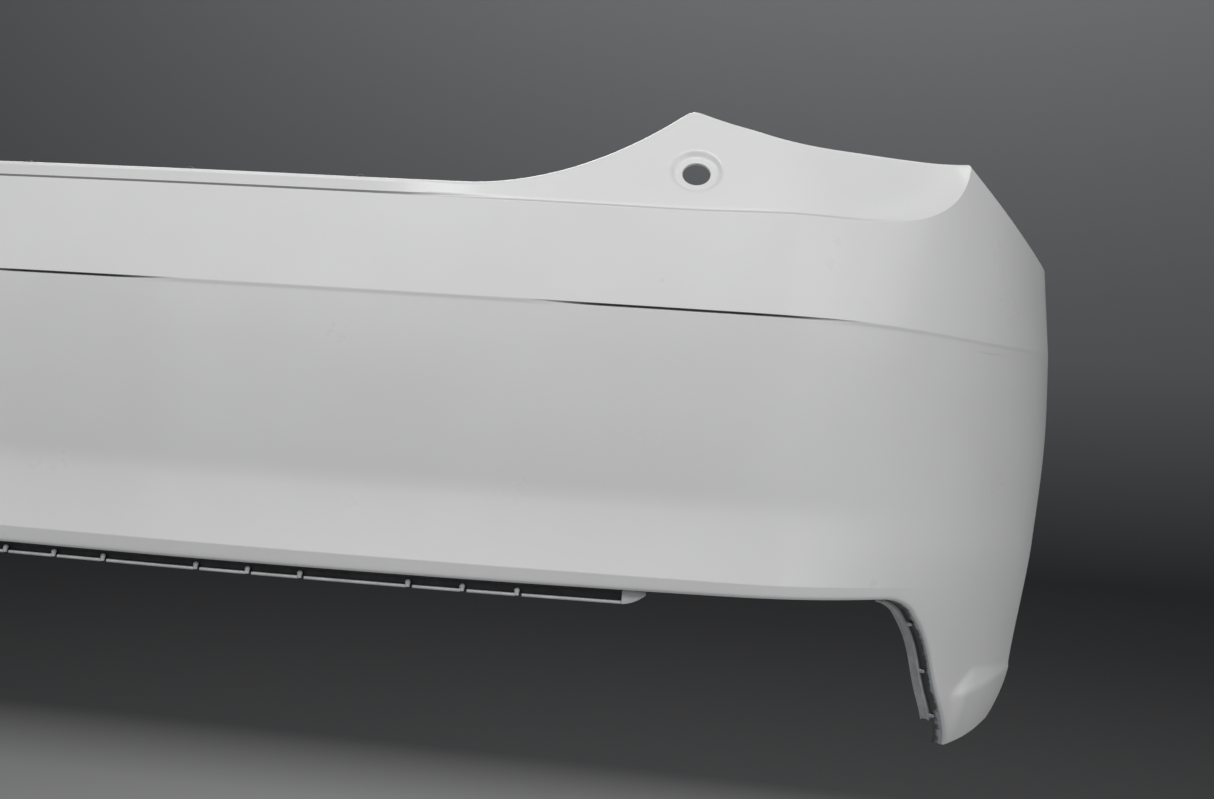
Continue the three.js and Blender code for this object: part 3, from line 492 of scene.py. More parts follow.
def whole_sheet():
    """Both halves, sharing the points on the centre plane, with every free edge turned in."""
    half = half_sheet()
    places = np.array(half.places)
    distance = edge_distance(places)
    near = np.clip(ROLL - distance, 0, ROLL)
    roll = ROLL - np.sqrt(ROLL ** 2 - near ** 2)
    sink = np.array(half.sink)
    s, h = places[:, 0], places[:, 1]
    points = at(s, relief(s, h) + roll, h)
    centre, normal = horn_normal()
    inside = sink > 0
    flat = points[inside]
    flat = flat - ((flat - centre) @ normal)[:, None] * normal * smooth(0, 2, sink[inside])[:, None]
    points[inside] = flat - normal * sink[inside][:, None]
    count = len(points)
    on_centre = s < 1e-6
    mirror = np.arange(count)
    mirror[~on_centre] = count + np.arange((~on_centre).sum())
    other = points[~on_centre] * np.array([-1, 1, 1])
    cells = np.array(half.cells)
    cells = np.concatenate([cells, mirror[cells][:, ::-1]])
    points = np.concatenate([points, other])
    places = np.concatenate([places, places[~on_centre] * np.array([-1, 1])])
    hole = np.concatenate([sink, sink[~on_centre]]) >= DISH_DEPTH + WALL - 1e-6
    return points, places, cells, hole


def free_edges(cells):
    pairs = np.concatenate([cells[:, [i, (i + 1) % 4]] for i in range(4)])
    present = set(map(tuple, pairs))
    return [(a, b) for a, b in pairs if (b, a) not in present]


def point_normals(points, cells):
    a, b, c, d = (points[cells[:, i]] for i in range(4))
    face = np.cross(c - a, d - b)
    normals = np.zeros_like(points)
    for i in range(4):
        np.add.at(normals, cells[:, i], face)
    return normals / np.maximum(np.linalg.norm(normals, axis=1), 1e-9)[:, None]


def new_object(name, points, faces, materials=(), slots=None):
    mesh = bpy.data.meshes.new(name)
    mesh.from_pydata(((np.asarray(points) - ORIGIN) * MM).tolist(), [], [tuple(map(int, f)) for f in faces])
    for material in materials:
        mesh.materials.append(material)
    if slots is not None:
        mesh.polygons.foreach_set("material_index", np.asarray(slots, np.int32))
    mesh.polygons.foreach_set("use_smooth", np.ones(len(mesh.polygons), bool))
    mesh.update()
    made = bpy.data.objects.new(name, mesh)
    bpy.context.scene.collection.objects.link(made)
    return made


RETURN_RINGS = (ROLL + 1.5, 7.5, 11.0, RETURN_DEPTH)     # depths of the returns' rings of points
BACK_DEPTH = 20.0             # added to the back's depth, to tell it from the face's
LEG_SPRAY_S, LEG_SPRAY_END_S, LEG_SPRAY_H = (735, 775), 872, 120
LEG_BARE, LEG_BARE_DEPTH = 6.5, 3.5
MIST_DEPTHS, MIST_AMOUNTS = (0, 3.5, 4.5, 7.5, 11, 14), (0, 0, 1, 0.55, 0.35, 0.12)
TIP_MIST, TIP_MIST_H, TIP_MIST_DEPTH = 0.25, (40, -10), 4
SKIN_SHARP_ANGLE = math.radians(55)


def write_attribute(mesh, name, values):
    made = mesh.attributes.new(name, "FLOAT", "POINT")
    made.data.foreach_set("value", np.concatenate(values).astype(np.float32))


def build_skin(paint, raw):
    points, places, cells, hole = whole_sheet()
    edges = [(a, b) for a, b in free_edges(cells) if not hole[a]]
    depth = np.zeros(len(points))
    cells = cells.tolist()
    points, places, depth = list(points), list(places), list(depth)
    last = {a: a for a, _ in edges}
    for inwards in RETURN_RINGS:
        here = {}
        for a, _ in edges:
            s, h = places[a]
            here[a] = len(points)
            points.append(at(s, relief(s, h) + inwards, h))
            places.append((s, h))
            depth.append(inwards)
        for a, b in edges:
            cells.append([last[b], last[a], here[a], here[b]])
        last = here
    points, places, cells, depth = (np.array(v) for v in (points, places, cells, depth))
    normals = point_normals(points, cells)
    count = len(points)
    inner = points - normals * WALL
    rim = [(last[b], last[a], last[a] + count, last[b] + count) for a, b in edges]
    rim += [(b, a, a + count, b + count) for a, b in free_edges(cells) if a < len(hole) and hole[a]]
    faces = cells.tolist() + (cells[:, ::-1] + count).tolist() + rim
    slots = [0] * len(cells) + [1] * len(cells) + [0] * len(rim)
    skin = new_object("skin_shell", np.concatenate([points, inner]), faces, (paint, raw), slots)
    s, h = abs(places[:, 0]), places[:, 1]
    on_leg = smooth(*LEG_SPRAY_S, s) * (h < LEG_SPRAY_H) * (s < LEG_SPRAY_END_S)
    sprayed = depth + LEG_BARE * on_leg * (depth > LEG_BARE_DEPTH)
    write_attribute(skin.data, "inward", (sprayed, depth + BACK_DEPTH))
    fading = np.interp(depth, MIST_DEPTHS, MIST_AMOUNTS)
    fading = fading + TIP_MIST * smooth(*TIP_MIST_H, h) * (depth > TIP_MIST_DEPTH)
    misted = np.clip(fading, 0, 1) * on_leg
    write_attribute(skin.data, "mist", (misted, misted * 0))
    # Painted shade in the creases, on the outer face only.
    crease_shade = painted_crease_shade_at(places[:, 0], places[:, 1]) * (depth < 1)
    write_attribute(skin.data, "painted_shade", (crease_shade, crease_shade * 0))
    skin.data.set_sharp_from_angle(angle=SKIN_SHARP_ANGLE)
    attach(skin, "root")
    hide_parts("bumper_skin")
    return skin


# ------------------------------------------------------------------ materials
def new_material(name, colour, roughness, metallic=0.0):
    material = bpy.data.materials.new(name)
    material.use_nodes = True
    tree = material.node_tree
    shader = tree.nodes["Principled BSDF"]
    shader.inputs["Base Color"].default_value = (*colour, 1)
    shader.inputs["Roughness"].default_value = roughness
    shader.inputs["Metallic"].default_value = metallic
    return material, tree, shader


def noise(tree, scale, detail=4.0, roughness=0.55):
    place = tree.nodes.new("ShaderNodeTexCoord")
    made = tree.nodes.new("ShaderNodeTexNoise")
    for socket, value in (("Scale", scale), ("Detail", detail), ("Roughness", roughness)):
        made.inputs[socket].default_value = value
    tree.links.new(place.outputs["Object"], made.inputs["Vector"])
    return made.outputs["Fac"]


def attribute(tree, name):
    made = tree.nodes.new("ShaderNodeAttribute")
    made.attribute_name = name
    return made.outputs["Fac"]


def scaled_sum(tree, value, factor, added):
    """value * factor + added"""
    made = tree.nodes.new("ShaderNodeMath")
    made.operation = "MULTIPLY_ADD"
    tree.links.new(value, made.inputs[0])
    made.inputs[1].default_value = factor
    tree.links.new(added, made.inputs[2])
    return made.outputs[0]


def map_range(tree, value, low, high, most=1.0):
    """0 to `most` as the value goes from low to high."""
    made = tree.nodes.new("ShaderNodeMapRange")
    made.inputs["From Min"].default_value = low
    made.inputs["From Max"].default_value = high
    made.inputs["To Max"].default_value = most
    tree.links.new(value, made.inputs["Value"])
    return made.outputs[0]


def ramp(tree, source, stops):
    made = tree.nodes.new("ShaderNodeValToRGB")
    elements = made.color_ramp.elements
    while len(elements) < len(stops):
        elements.new(0.5)
    for element, (position, colour) in zip(elements, stops):
        element.position = position
        element.color = (*colour, 1) if isinstance(colour, tuple) else (colour, colour, colour, 1)
    tree.links.new(source, made.inputs["Fac"])
    return made.outputs["Color"]


def blend_colour(tree, factor, a, b):
    """Colour a where the factor is 0 and b where it is 1."""
    made = tree.nodes.new("ShaderNodeMix")
    made.data_type = "RGBA"
    colours = [socket for socket in made.inputs if socket.type == "RGBA"]
    for socket, value in ((made.inputs["Factor"], factor), (colours[0], a), (colours[1], b)):
        if hasattr(value, "is_output"):
            tree.links.new(value, socket)
        else:
            socket.default_value = (*value, 1) if isinstance(value, tuple) else value
    return [o for o in made.outputs if o.type == "RGBA"][0]


def add_bump(tree, shader, height, strength, distance):
    bump = tree.nodes.new("ShaderNodeBump")
    bump.inputs["Strength"].default_value = strength
    bump.inputs["Distance"].default_value = distance
    tree.links.new(height, bump.inputs["Height"])
    tree.links.new(bump.outputs["Normal"], shader.inputs["Normal"])


PAINT_WHITE, PAINT_COAT, PAINT_COAT_ROUGHNESS, PAINT_IOR = (0.8, 0.8, 0.79), 0.2, 0.12, 1.48
CLOUD_STOPS = [(0.35, (0.775, 0.775, 0.768)), (0.65, (0.81, 0.81, 0.806))]
DUST_STOPS, DUST_SHARE = [(0.2, (0.77, 0.768, 0.76)), (0.8, (0.815, 0.815, 0.81))], 0.14
GLOSS_STOPS = [(0.3, 0.27), (0.7, 0.36)]
RAGGED, BARE_FROM, BARE_TO, BARE_BLACK = 7.0, 8.4, 15.0, (0.03, 0.031, 0.033)
MIST_WEIGHT, MIST_FROM, MIST_TO, MIST_GREY = 0.6, 0.86, 1.04, (0.42, 0.45, 0.49)
# Painted shade: the dark colour laid into the creases in place of their shadow.
PAINTED_SHADE_COLOUR = (0.07, 0.073, 0.08)


def paint_material():
    """White paint that gives out raggedly on the returns, over bare plastic."""
    material, tree, shader = new_material("body_paint", PAINT_WHITE, 0.3)
    shader.inputs["Coat Weight"].default_value = PAINT_COAT
    shader.inputs["Coat Roughness"].default_value = PAINT_COAT_ROUGHNESS
    shader.inputs["IOR"].default_value = PAINT_IOR
    cloud = ramp(tree, noise(tree, 5.0, 3.0), CLOUD_STOPS)
    dust = ramp(tree, noise(tree, 180.0, 6.0, 0.7), DUST_STOPS)
    face = blend_colour(tree, DUST_SHARE, cloud, dust)
    ragged = scaled_sum(tree, noise(tree, 90.0, 5.0, 0.7), RAGGED, attribute(tree, "inward"))
    bare = blend_colour(tree, map_range(tree, ragged, BARE_FROM, BARE_TO), face, BARE_BLACK)
    speckle = scaled_sum(tree, attribute(tree, "mist"), MIST_WEIGHT, noise(tree, 75.0, 6.0, 0.75))
    sprayed = blend_colour(tree, map_range(tree, speckle, MIST_FROM, MIST_TO), bare, MIST_GREY)
    # The creases are darkened here with painted shade.
    colour = blend_colour(tree, attribute(tree, "painted_shade"), sprayed, PAINTED_SHADE_COLOUR)
    tree.links.new(colour, shader.inputs["Base Color"])
    tree.links.new(ramp(tree, noise(tree, 14.0, 5.0), GLOSS_STOPS), shader.inputs["Roughness"])
    add_bump(tree, shader, noise(tree, 420.0, 2.0), 0.06, 0.0002)
    return material


BACK_BLACK, BACK_MOTTLE = (0.04, 0.04, 0.042), [(0.4, (0.034, 0.034, 0.036)), (0.8, (0.09, 0.09, 0.094))]
BACK_RAGGED, SPRAY_FROM, SPRAY_TO, SPRAY_MOST, SPRAY_GREY = 14.0, 30.0, 44.0, 0.75, (0.42, 0.43, 0.44)


def raw_material():
    """The skin's unpainted back: black plastic with a mist of overspray near its edges."""
    material, tree, shader = new_material("skin_back", BACK_BLACK, 0.55)
    mottle = ramp(tree, noise(tree, 34.0, 6.0, 0.7), BACK_MOTTLE)
    ragged = scaled_sum(tree, noise(tree, 70.0, 5.0, 0.75), BACK_RAGGED, attribute(tree, "inward"))
    spray = map_range(tree, ragged, SPRAY_FROM, SPRAY_TO, SPRAY_MOST)
    colour = blend_colour(tree, spray, mottle, SPRAY_GREY)
    tree.links.new(colour, shader.inputs["Base Color"])
    add_bump(tree, shader, noise(tree, 900.0, 3.0), 0.25, 0.0003)
    return material


def plastic_material(name, dark, light, roughness, grain=700.0, strength=0.3):
    material, tree, shader = new_material(name, light, roughness)
    mottled = ramp(tree, noise(tree, 60.0, 5.0, 0.65), [(0.35, dark), (0.7, light)])
    tree.links.new(mottled, shader.inputs["Base Color"])
    rough = ramp(tree, noise(tree, 150.0, 3.0), [(0.3, roughness - 0.08), (0.7, roughness + 0.1)])
    tree.links.new(rough, shader.inputs["Roughness"])
    add_bump(tree, shader, noise(tree, grain, 3.0), strength, 0.0003)
    return material


STEEL_TINTS = [(0.3, (0.42, 0.42, 0.41)), (0.55, (0.58, 0.58, 0.58)), (0.8, (0.5, 0.48, 0.42))]


def steel_material():
    material, tree, shader = new_material("spring_steel", (0.5, 0.5, 0.5), 0.35, 1.0)
    tint = ramp(tree, noise(tree, 120.0, 4.0), STEEL_TINTS)
    tree.links.new(tint, shader.inputs["Base Color"])
    rough = ramp(tree, noise(tree, 300.0, 3.0), [(0.3, 0.28), (0.7, 0.48)])
    tree.links.new(rough, shader.inputs["Roughness"])
    add_bump(tree, shader, noise(tree, 800.0, 2.0), 0.15, 0.0002)
    return material


# ------------------------------------------------------------------ rails, guides and pads
def bar_faces(count, rings):
    faces = []
    for ring in range(rings - 1):
        for i in range(count):
            a, b = ring * count + i, ring * count + (i + 1) % count
            faces.append((a, b, b + count, a + count))
    faces.append(tuple(range(count))[::-1])
    faces.append(tuple(range((rings - 1) * count, rings * count)))
    return faces


def ring_bar(rings):
    rings = np.asarray(rings, float)
    points = rings.reshape(-1, 3)
    faces = bar_faces(rings.shape[1], rings.shape[0])
    volume = 0.0
    for f in faces:
        for i in range(1, len(f) - 1):
            volume += np.dot(points[f[0]], np.cross(points[f[i]], points[f[i + 1]]))
    if volume < 0:
        faces = [tuple(reversed(f)) for f in faces]
    return points, faces


def plan_bar(start, end, steps, section):
    rings = []
    for s in np.linspace(start, end, steps + 1):
        outline_points = np.array(section(s))
        rings.append(at(s, outline_points[:, 0], outline_points[:, 1]))
    return ring_bar(rings)


def joined(parts):
    points, faces, first = [], [], 0
    for part_points, part_faces in parts:
        points.append(part_points)
        faces += [tuple(i + first for i in face) for face in part_faces]
        first += len(part_points)
    return np.concatenate(points), faces


def mirrored(part):
    points, faces = part
    return points * np.array([-1, 1, 1]), [tuple(reversed(face)) for face in faces]


PIECE_SHARP_ANGLE = math.radians(35)


def finish_piece(name, part, material, slot_name, cad_node, bevel=0.35, second=None, seconds=0):
    """An object from a part; its first `seconds` faces take the second material."""
    made = new_object(name, *part, (material, second) if second else (material,))
    if second:
        for face in made.data.polygons[:seconds]:
            face.material_index = 1
    if bevel:
        made.data.set_sharp_from_angle(angle=PIECE_SHARP_ANGLE)
        edge = made.modifiers.new("edges", "BEVEL")
        edge.width = bevel * MM
        edge.segments = 2
        edge.limit_method = "ANGLE"
        edge.angle_limit = PIECE_SHARP_ANGLE
        edge.harden_normals = False
    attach(made, "root")
    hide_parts(cad_node)
    return made


def finish_pair(name, part, *rest, **more):
    finish_piece(f"{name}_r", part, *rest[:2], f"{rest[2]}_right", **more)
    finish_piece(f"{name}_l", mirrored(part), *rest[:2], f"{rest[2]}_left", **more)


RAIL_END_S, RAIL_LOW_H, RAIL_WALL, RAIL_FRONT_D, RAIL_BACK_D = 500.0, 104.0, 1.8, 13.0, 27.0
PLATE_SET_BACK, WEB_SET_BACK, WEB_BACK, WEB_LIFT, WEB_LIP = 3, 4, 7, 0.4, 0.8
BEAD_HEIGHT, BEAD_DEPTH = 2.4, 4.6
TIP_LENGTH, TIP_ROOM, TIP_SWEEP, TIP_BREAK, TIP_BREAK_D = 20.0, 0.5, 0.35, 0.45, 1.2
HOOK_RINGS = ((0.6, 1.0), (2.6, 1.05), (4.0, 1.2), (5.2, 1.25), (6.0, 1.0), (6.6, 0.6), (6.8, 0.2))
HOOK_WIDE, HOOK_DEEP, HOOK_D, HOOK_TILT, HOOK_SIDES = 1.9, 1.7, 2.0, 0.25, 12
HOOK_GAP_AFTER, HOOK_GAP_BEFORE = 4.5, 1.2
HOOK_PITCH, HOOK_GROUPS = 46.5, (-366.0, -179.0, 0.0, 179.0, 366.0)


def edge_depth(s):
    return float(relief(s, bottom_edge(abs(s))))


def rail_depths(s):
    """Depths of the rail's front and back at s, where it follows the skin's bottom edge."""
    shift = edge_depth(s) - edge_depth(0.0)
    return RAIL_FRONT_D + shift, RAIL_BACK_D + shift


def rail_section(s):
    """The rail's web and its top plate; the bead along its foot is a part of its own."""
    front, back = rail_depths(s)
    top = float(bottom_edge(abs(s))) - GAP
    plate, web = front + PLATE_SET_BACK, front + WEB_SET_BACK
    low, foot = RAIL_LOW_H + WEB_LIFT, RAIL_LOW_H + RAIL_WALL + WEB_LIP
    return [
        (web, low), (back, low), (back, top), (plate, top),
        (plate, top - RAIL_WALL), (back - WEB_BACK, top - RAIL_WALL), (back - WEB_BACK, foot), (web, foot),
    ]


def bead_section(s):
    front = RAIL_FRONT_D + edge_depth(s) - edge_depth(0.0)
    low, high, deep = RAIL_LOW_H, RAIL_LOW_H + BEAD_HEIGHT, front + BEAD_DEPTH
    return [
        (front + 0.7, low), (deep, low), (deep, high), (front + 0.9, high),
        (front + 0.2, high - 0.5), (front, high - 1.1), (front + 0.1, low + 0.5),
    ]


def hook(s):
    """A small rounded hook standing on the rail: a stack of narrowing rings."""
    front = RAIL_FRONT_D + edge_depth(s) - edge_depth(0.0)
    rings = []
    for height, size in HOOK_RINGS:
        turn = np.linspace(0, 2 * math.pi, HOOK_SIDES, endpoint=False)
        centre = front + HOOK_D + HOOK_TILT * height
        rings.append([at(s + HOOK_WIDE * size * math.cos(a), centre + HOOK_DEEP * size * math.sin(a),
                         RAIL_LOW_H + height) for a in turn])
    return ring_bar(rings)


def hook_places():
    return [group + place for group in HOOK_GROUPS for place in (-HOOK_PITCH, 0, HOOK_PITCH)]


def build_lower_rail(material, web):
    parts = [plan_bar(-RAIL_END_S, RAIL_END_S, 60, rail_section)]
    # The web and top plate take the second material: the rail's plastic darkened as painted shade, for the
    # shadow under the skin's bottom edge.
    web_faces = len(parts[0][1])
    stops = [-RAIL_END_S] + hook_places() + [RAIL_END_S]
    for start, end in zip(stops[:-1], stops[1:]):
        first = start + (HOOK_GAP_AFTER if start > -RAIL_END_S else 0)
        last = end - HOOK_GAP_BEFORE if end < RAIL_END_S else end
        parts.append(plan_bar(first, last, 4, bead_section))
    parts += [hook(s) for s in hook_places()]
    finish_piece("snap_rail", joined(parts), material, "rail_plastic", "lower_rail", 0.25, web, web_faces)


def tip_section(s, height):
    """The closed section of the rail's tapered tip; its height goes from 1 to 0 along it."""
    front, back = rail_depths(s)
    top = float(bottom_edge(abs(s))) - GAP
    low = mix(top - 2 * RAIL_WALL - TIP_ROOM, RAIL_LOW_H, height)
    return [
        (front, low), (back, low), (back, top), (front + PLATE_SET_BACK, top),
        (front + TIP_BREAK_D, mix(low, top, TIP_BREAK)), (front, low + BEAD_HEIGHT),
    ]


def build_rail_end(material):
    def section(s):
        taper = (s - RAIL_END_S) / TIP_LENGTH
        return [(mix(d, RAIL_BACK_D, taper * TIP_SWEEP), h) for d, h in tip_section(s, 1 - taper ** 2)]

    part = plan_bar(RAIL_END_S + GAP, RAIL_END_S + TIP_LENGTH, 8, section)
    finish_pair("rail_tip", part, material, "rail_plastic", "rail_end", bevel=0.3)


STRIP_T, STRIP_RUN_IN, STRIP_STEPS, PATH_STEP = (-0.4, 0.8), 60, 60, 0.01
STRIP_SECTION = [
    (0.9, 14.6), (2.9, 14.6), (3.7, 15.0), (3.7, 15.8), (2.9, 16.2), (2.4, 17.0), (2.4, 21.4),
    (2.9, 22.2), (3.7, 22.6), (3.7, 23.6), (2.9, 24.0), (0.9, 24.0),
]
RIB_T, RIB_HALF_T = (0.1, 0.44, 0.77), 0.01
RIB_SECTION = [(0.9, 9.5), (2.2, 10.5), (2.7, 15.5), (0.9, 15.5)]


def trim_path(t):
    """(s, h) along the leg's inner edge; before t = 0 it follows the bottom edge instead."""
    if t >= 0:
        return leg_inner(np.array(t))
    s = LEG_S + STRIP_RUN_IN * t
    return np.array([s, float(bottom_edge(s))])


def leg_rail_bar(start, end, steps, outline_points):
    """A bar beside the leg's return: pairs of (distance off the return's face, depth behind the skin)."""
    rings = []
    for t in np.linspace(start, end, steps + 1):
        s, h = trim_path(t)
        ahead, behind = trim_path(t + PATH_STEP), trim_path(t - PATH_STEP)
        way = (ahead - behind) / np.linalg.norm(ahead - behind)
        off = np.array([-way[1], way[0]]) if way[1] > 0 else np.array([way[1], -way[0]])
        rings.append([at(s + off[0] * away, relief(s, h) + deep, h + off[1] * away)
                      for away, deep in outline_points])
    return ring_bar(rings)


def build_leg_rail(material):
    parts = [leg_rail_bar(*STRIP_T, STRIP_STEPS, STRIP_SECTION)]
    for t in RIB_T:
        parts.append(leg_rail_bar(t - RIB_HALF_T, t + RIB_HALF_T, 1, RIB_SECTION))
    finish_pair("leg_strip", joined(parts), material, "rail_plastic", "leg_rail", bevel=0.2)


SILL_D, SILL_DEPTH, SILL_END_S, SILL_TOP_H, SILL_WALL, SILL_DROP = 49.5, 31.0, 322.0, 445.1, 2.5, 34.0
SILL_STEPS, EDGE_WIDTH, EDGE_DROP = 44, 2, 6
GUSSETS_S, GUSSET_HALF, GUSSET_DEPTH, GUSSET_LIFT = np.linspace(-300, 300, 16), 0.9, 12, 4
RIVET_D, RIVET_RADIUS, RIVET_S = 66.0, 7.0, (-240.0, -80.0, 80.0, 240.0)
HEAD_THICK, HEAD_RIM = 1.8, 1.0
RIVET_HEAD = [(0.3, HEAD_THICK), (3.2, HEAD_THICK), (3.6, HEAD_RIM), (4.0, HEAD_RIM), (4.4, HEAD_THICK),
              (9.0, HEAD_THICK), (9.6, HEAD_RIM), (9.6, 0.0), (RIVET_RADIUS, 0.0)]
RIVET_STEM = [(RIVET_RADIUS, 1.8), (RIVET_RADIUS - 0.6, 3.0), (RIVET_RADIUS - 2, 6.3), (2.1, 8.6), (0.3, 9.0)]


def build_retainer(material):
    low = SILL_TOP_H - SILL_DROP
    far = SILL_D + SILL_DEPTH
    web, under = SILL_D + SILL_WALL, SILL_TOP_H - SILL_WALL
    section = [
        (SILL_D, low), (web, low), (web, under), (far - EDGE_WIDTH, under),
        (far - EDGE_WIDTH, SILL_TOP_H - EDGE_DROP), (far, SILL_TOP_H - EDGE_DROP),
        (far, SILL_TOP_H), (SILL_D, SILL_TOP_H),
    ]
    gusset = [(web, low + GUSSET_LIFT), (web + GUSSET_DEPTH, under), (web, under)]
    parts = [plan_bar(-SILL_END_S, SILL_END_S, SILL_STEPS, lambda s: section)]
    for s in GUSSETS_S:
        parts.append(plan_bar(s - GUSSET_HALF, s + GUSSET_HALF, 1, lambda _: gusset))
    finish_piece("sill_retainer", joined(parts), material, "black_plastic", "upper_retainer", bevel=0.4)


def lathe(outline_points, centre, steps=40):
    rings = []
    for radius, height in outline_points:
        turn = np.linspace(0, 2 * math.pi, steps, endpoint=False)
        rings.append([centre + np.array([radius * math.cos(a), radius * math.sin(a), height]) for a in turn])
    return ring_bar(rings)


def build_rivets(material):
    seat = -SILL_WALL - GAP
    outline_points = [(radius, seat - drop) for radius, drop in RIVET_HEAD] + RIVET_STEM
    for number, s in enumerate(RIVET_S, 1):
        part = lathe(outline_points, at(s, RIVET_D, SILL_TOP_H))
        finish_piece(f"rivet_{number}", part, material, "black_plastic", f"sill_rivet_{number}", bevel=0.15)


GUIDE_DROP, GUIDE_WALL = 3.4, 2        # how far the guides' tops sit below the skin's edge
SIDE_GUIDE_S, SIDE_GUIDE_BEHIND, SIDE_GUIDE_WIDTH = (858, 1086), 4.5, 11
SIDE_GUIDE_TALL, SIDE_GUIDE_LIP = 16, 12
GUIDE_RIBS_S, GUIDE_RIB_HALF, GUIDE_RIB_WIDTH = range(875, 1080, 22), 0.8, 9
LAMP_GUIDE_S, LAMP_GUIDE_BEHIND, LAMP_GUIDE_WIDTH = (575, 770), 4, 24
LAMP_GUIDE_LEG, LAMP_GUIDE_TALL = 8, 18


def guide_place(s, behind):
    """Top height and near depth of a guide under the top edge."""
    return float(top_edge(s)) - GUIDE_DROP, float(relief(s, top_edge(s))) + behind


def build_side_guide(material):
    def section(s):
        top, near = guide_place(s, SIDE_GUIDE_BEHIND)
        far, under = near + SIDE_GUIDE_WIDTH, top - GUIDE_WALL
        return [
            (near, top - SIDE_GUIDE_TALL), (near + GUIDE_WALL, top - SIDE_GUIDE_TALL),
            (near + GUIDE_WALL, under), (far - GUIDE_WALL, under), (far - GUIDE_WALL, top - SIDE_GUIDE_LIP),
            (far, top - SIDE_GUIDE_LIP), (far, top), (near, top),
        ]

    parts = [plan_bar(*SIDE_GUIDE_S, 60, section)]
    for s in GUIDE_RIBS_S:
        top, near = guide_place(s, SIDE_GUIDE_BEHIND)
        low, high = top - SIDE_GUIDE_LIP, top - GUIDE_WALL
        left, right = near + GUIDE_WALL, near + GUIDE_RIB_WIDTH
        rib = [(left, low), (right, low), (right, high), (left, high)]
        parts.append(plan_bar(s - GUIDE_RIB_HALF, s + GUIDE_RIB_HALF, 1, lambda _, rib=rib: rib))
    finish_pair("fender_guide", joined(parts), material, "black_plastic", "side_guide")


def build_lamp_guide(material):
    def section(s):
        top, near = guide_place(s, LAMP_GUIDE_BEHIND)
        leg, far, under = near + LAMP_GUIDE_LEG, near + LAMP_GUIDE_WIDTH, top - GUIDE_WALL
        return [
            (leg, top - LAMP_GUIDE_TALL), (leg + GUIDE_WALL, top - LAMP_GUIDE_TALL),
            (leg + GUIDE_WALL, under), (far, under), (far, top), (near, top), (near, under), (leg, under),
        ]

    part = plan_bar(*LAMP_GUIDE_S, 50, section)
    finish_pair("lamp_ledge", part, material, "black_plastic", "lamp_guide")


PAD_S, PAD_LOW_H, PAD_MIDDLE_H, PAD_HIGH_H = (578, 640), 452, 465, 478
PAD_AWAY, PAD_THICK, PAD_EDGE, PAD_CROWN = 4.2, 12, 11, 12.4


def build_foam(material):
    def section(s):
        low, middle, high = (float(relief(s, h)) + PAD_AWAY for h in (PAD_LOW_H, PAD_MIDDLE_H, PAD_HIGH_H))
        return [
            (low, PAD_LOW_H), (low + PAD_EDGE, PAD_LOW_H), (low + PAD_THICK, PAD_LOW_H + 2),
            (middle + PAD_CROWN, PAD_MIDDLE_H), (high + PAD_THICK, PAD_HIGH_H - 2),
            (high + PAD_EDGE, PAD_HIGH_H), (high, PAD_HIGH_H),
        ]

    part = plan_bar(*PAD_S, 12, section)
    finish_pair("lamp_pad", part, material, "foam", "lamp_foam", bevel=1.0)


NUT_SLACK, NUT_SHEET, NUT_WALL, NUT_BACK, NUT_CORNER = 1.6, 1.0, 3.0, 7, 0.7
NUT_ALONG, BARREL_SEAT, BARREL_GAP, BARREL_SIDES = (-7, -3, 3, 7), 3, 0.3, 24
BARREL = ((4.2, 0.6), (3.4, 1.2), (3.2, 4.2), (2.9, 4.5), (2.1, 4.5), (1.9, 3.6))   # radius, drop
ARCH_NUTS_H, ARCH_NUT_STEP = (70.0, 170.0, 270.0), 2
LEG_NUT_U, LEG_NUT_STEP = 0.4, 0.05


def clip_nut(place, inwards, along):
    """A folded spring clip with a screw barrel, in its own three directions."""
    away = np.cross(inwards, along)
    away /= np.linalg.norm(away)
    reach, back = RETURN_DEPTH + NUT_SLACK, RETURN_DEPTH - NUT_BACK
    near, far = NUT_SLACK, -NUT_WALL - NUT_SLACK
    outline_points = [
        (back, near + NUT_SHEET), (back + 2, near), (reach, near), (reach, far), (back, far),
        (back, far - NUT_SHEET), (reach + NUT_CORNER, far - NUT_SHEET), (reach + NUT_SHEET, far - NUT_CORNER),
        (reach + NUT_SHEET, near + NUT_CORNER), (reach + NUT_CORNER, near + NUT_SHEET),
        (back + 2, near + NUT_SHEET), (back, near + NUT_SHEET + 0.8),
    ]
    rings = []
    for offset in NUT_ALONG:
        rings.append([place + inwards * n + away * b + along * offset for n, b in outline_points])
    seat = place + inwards * (RETURN_DEPTH - BARREL_SEAT) - away * (NUT_WALL + NUT_SLACK + BARREL_GAP)
    turn = np.linspace(0, 2 * math.pi, BARREL_SIDES, endpoint=False)
    barrel = []
    for radius, drop in BARREL:
        ring = [(inwards * math.cos(a) + along * math.sin(a)) * radius for a in turn]
        barrel.append([seat - away * drop + place_on_ring for place_on_ring in ring])
    return joined([ring_bar(rings), ring_bar(barrel)])


def unit(vector):
    return vector / np.linalg.norm(vector)


def nut_at(place, ahead, behind, s):
    inwards = unit(at(s, 1, 0) - at(s, 0, 0))
    along = ahead - behind
    along = unit(along - inwards * np.dot(along, inwards))
    return clip_nut(place, inwards, along)


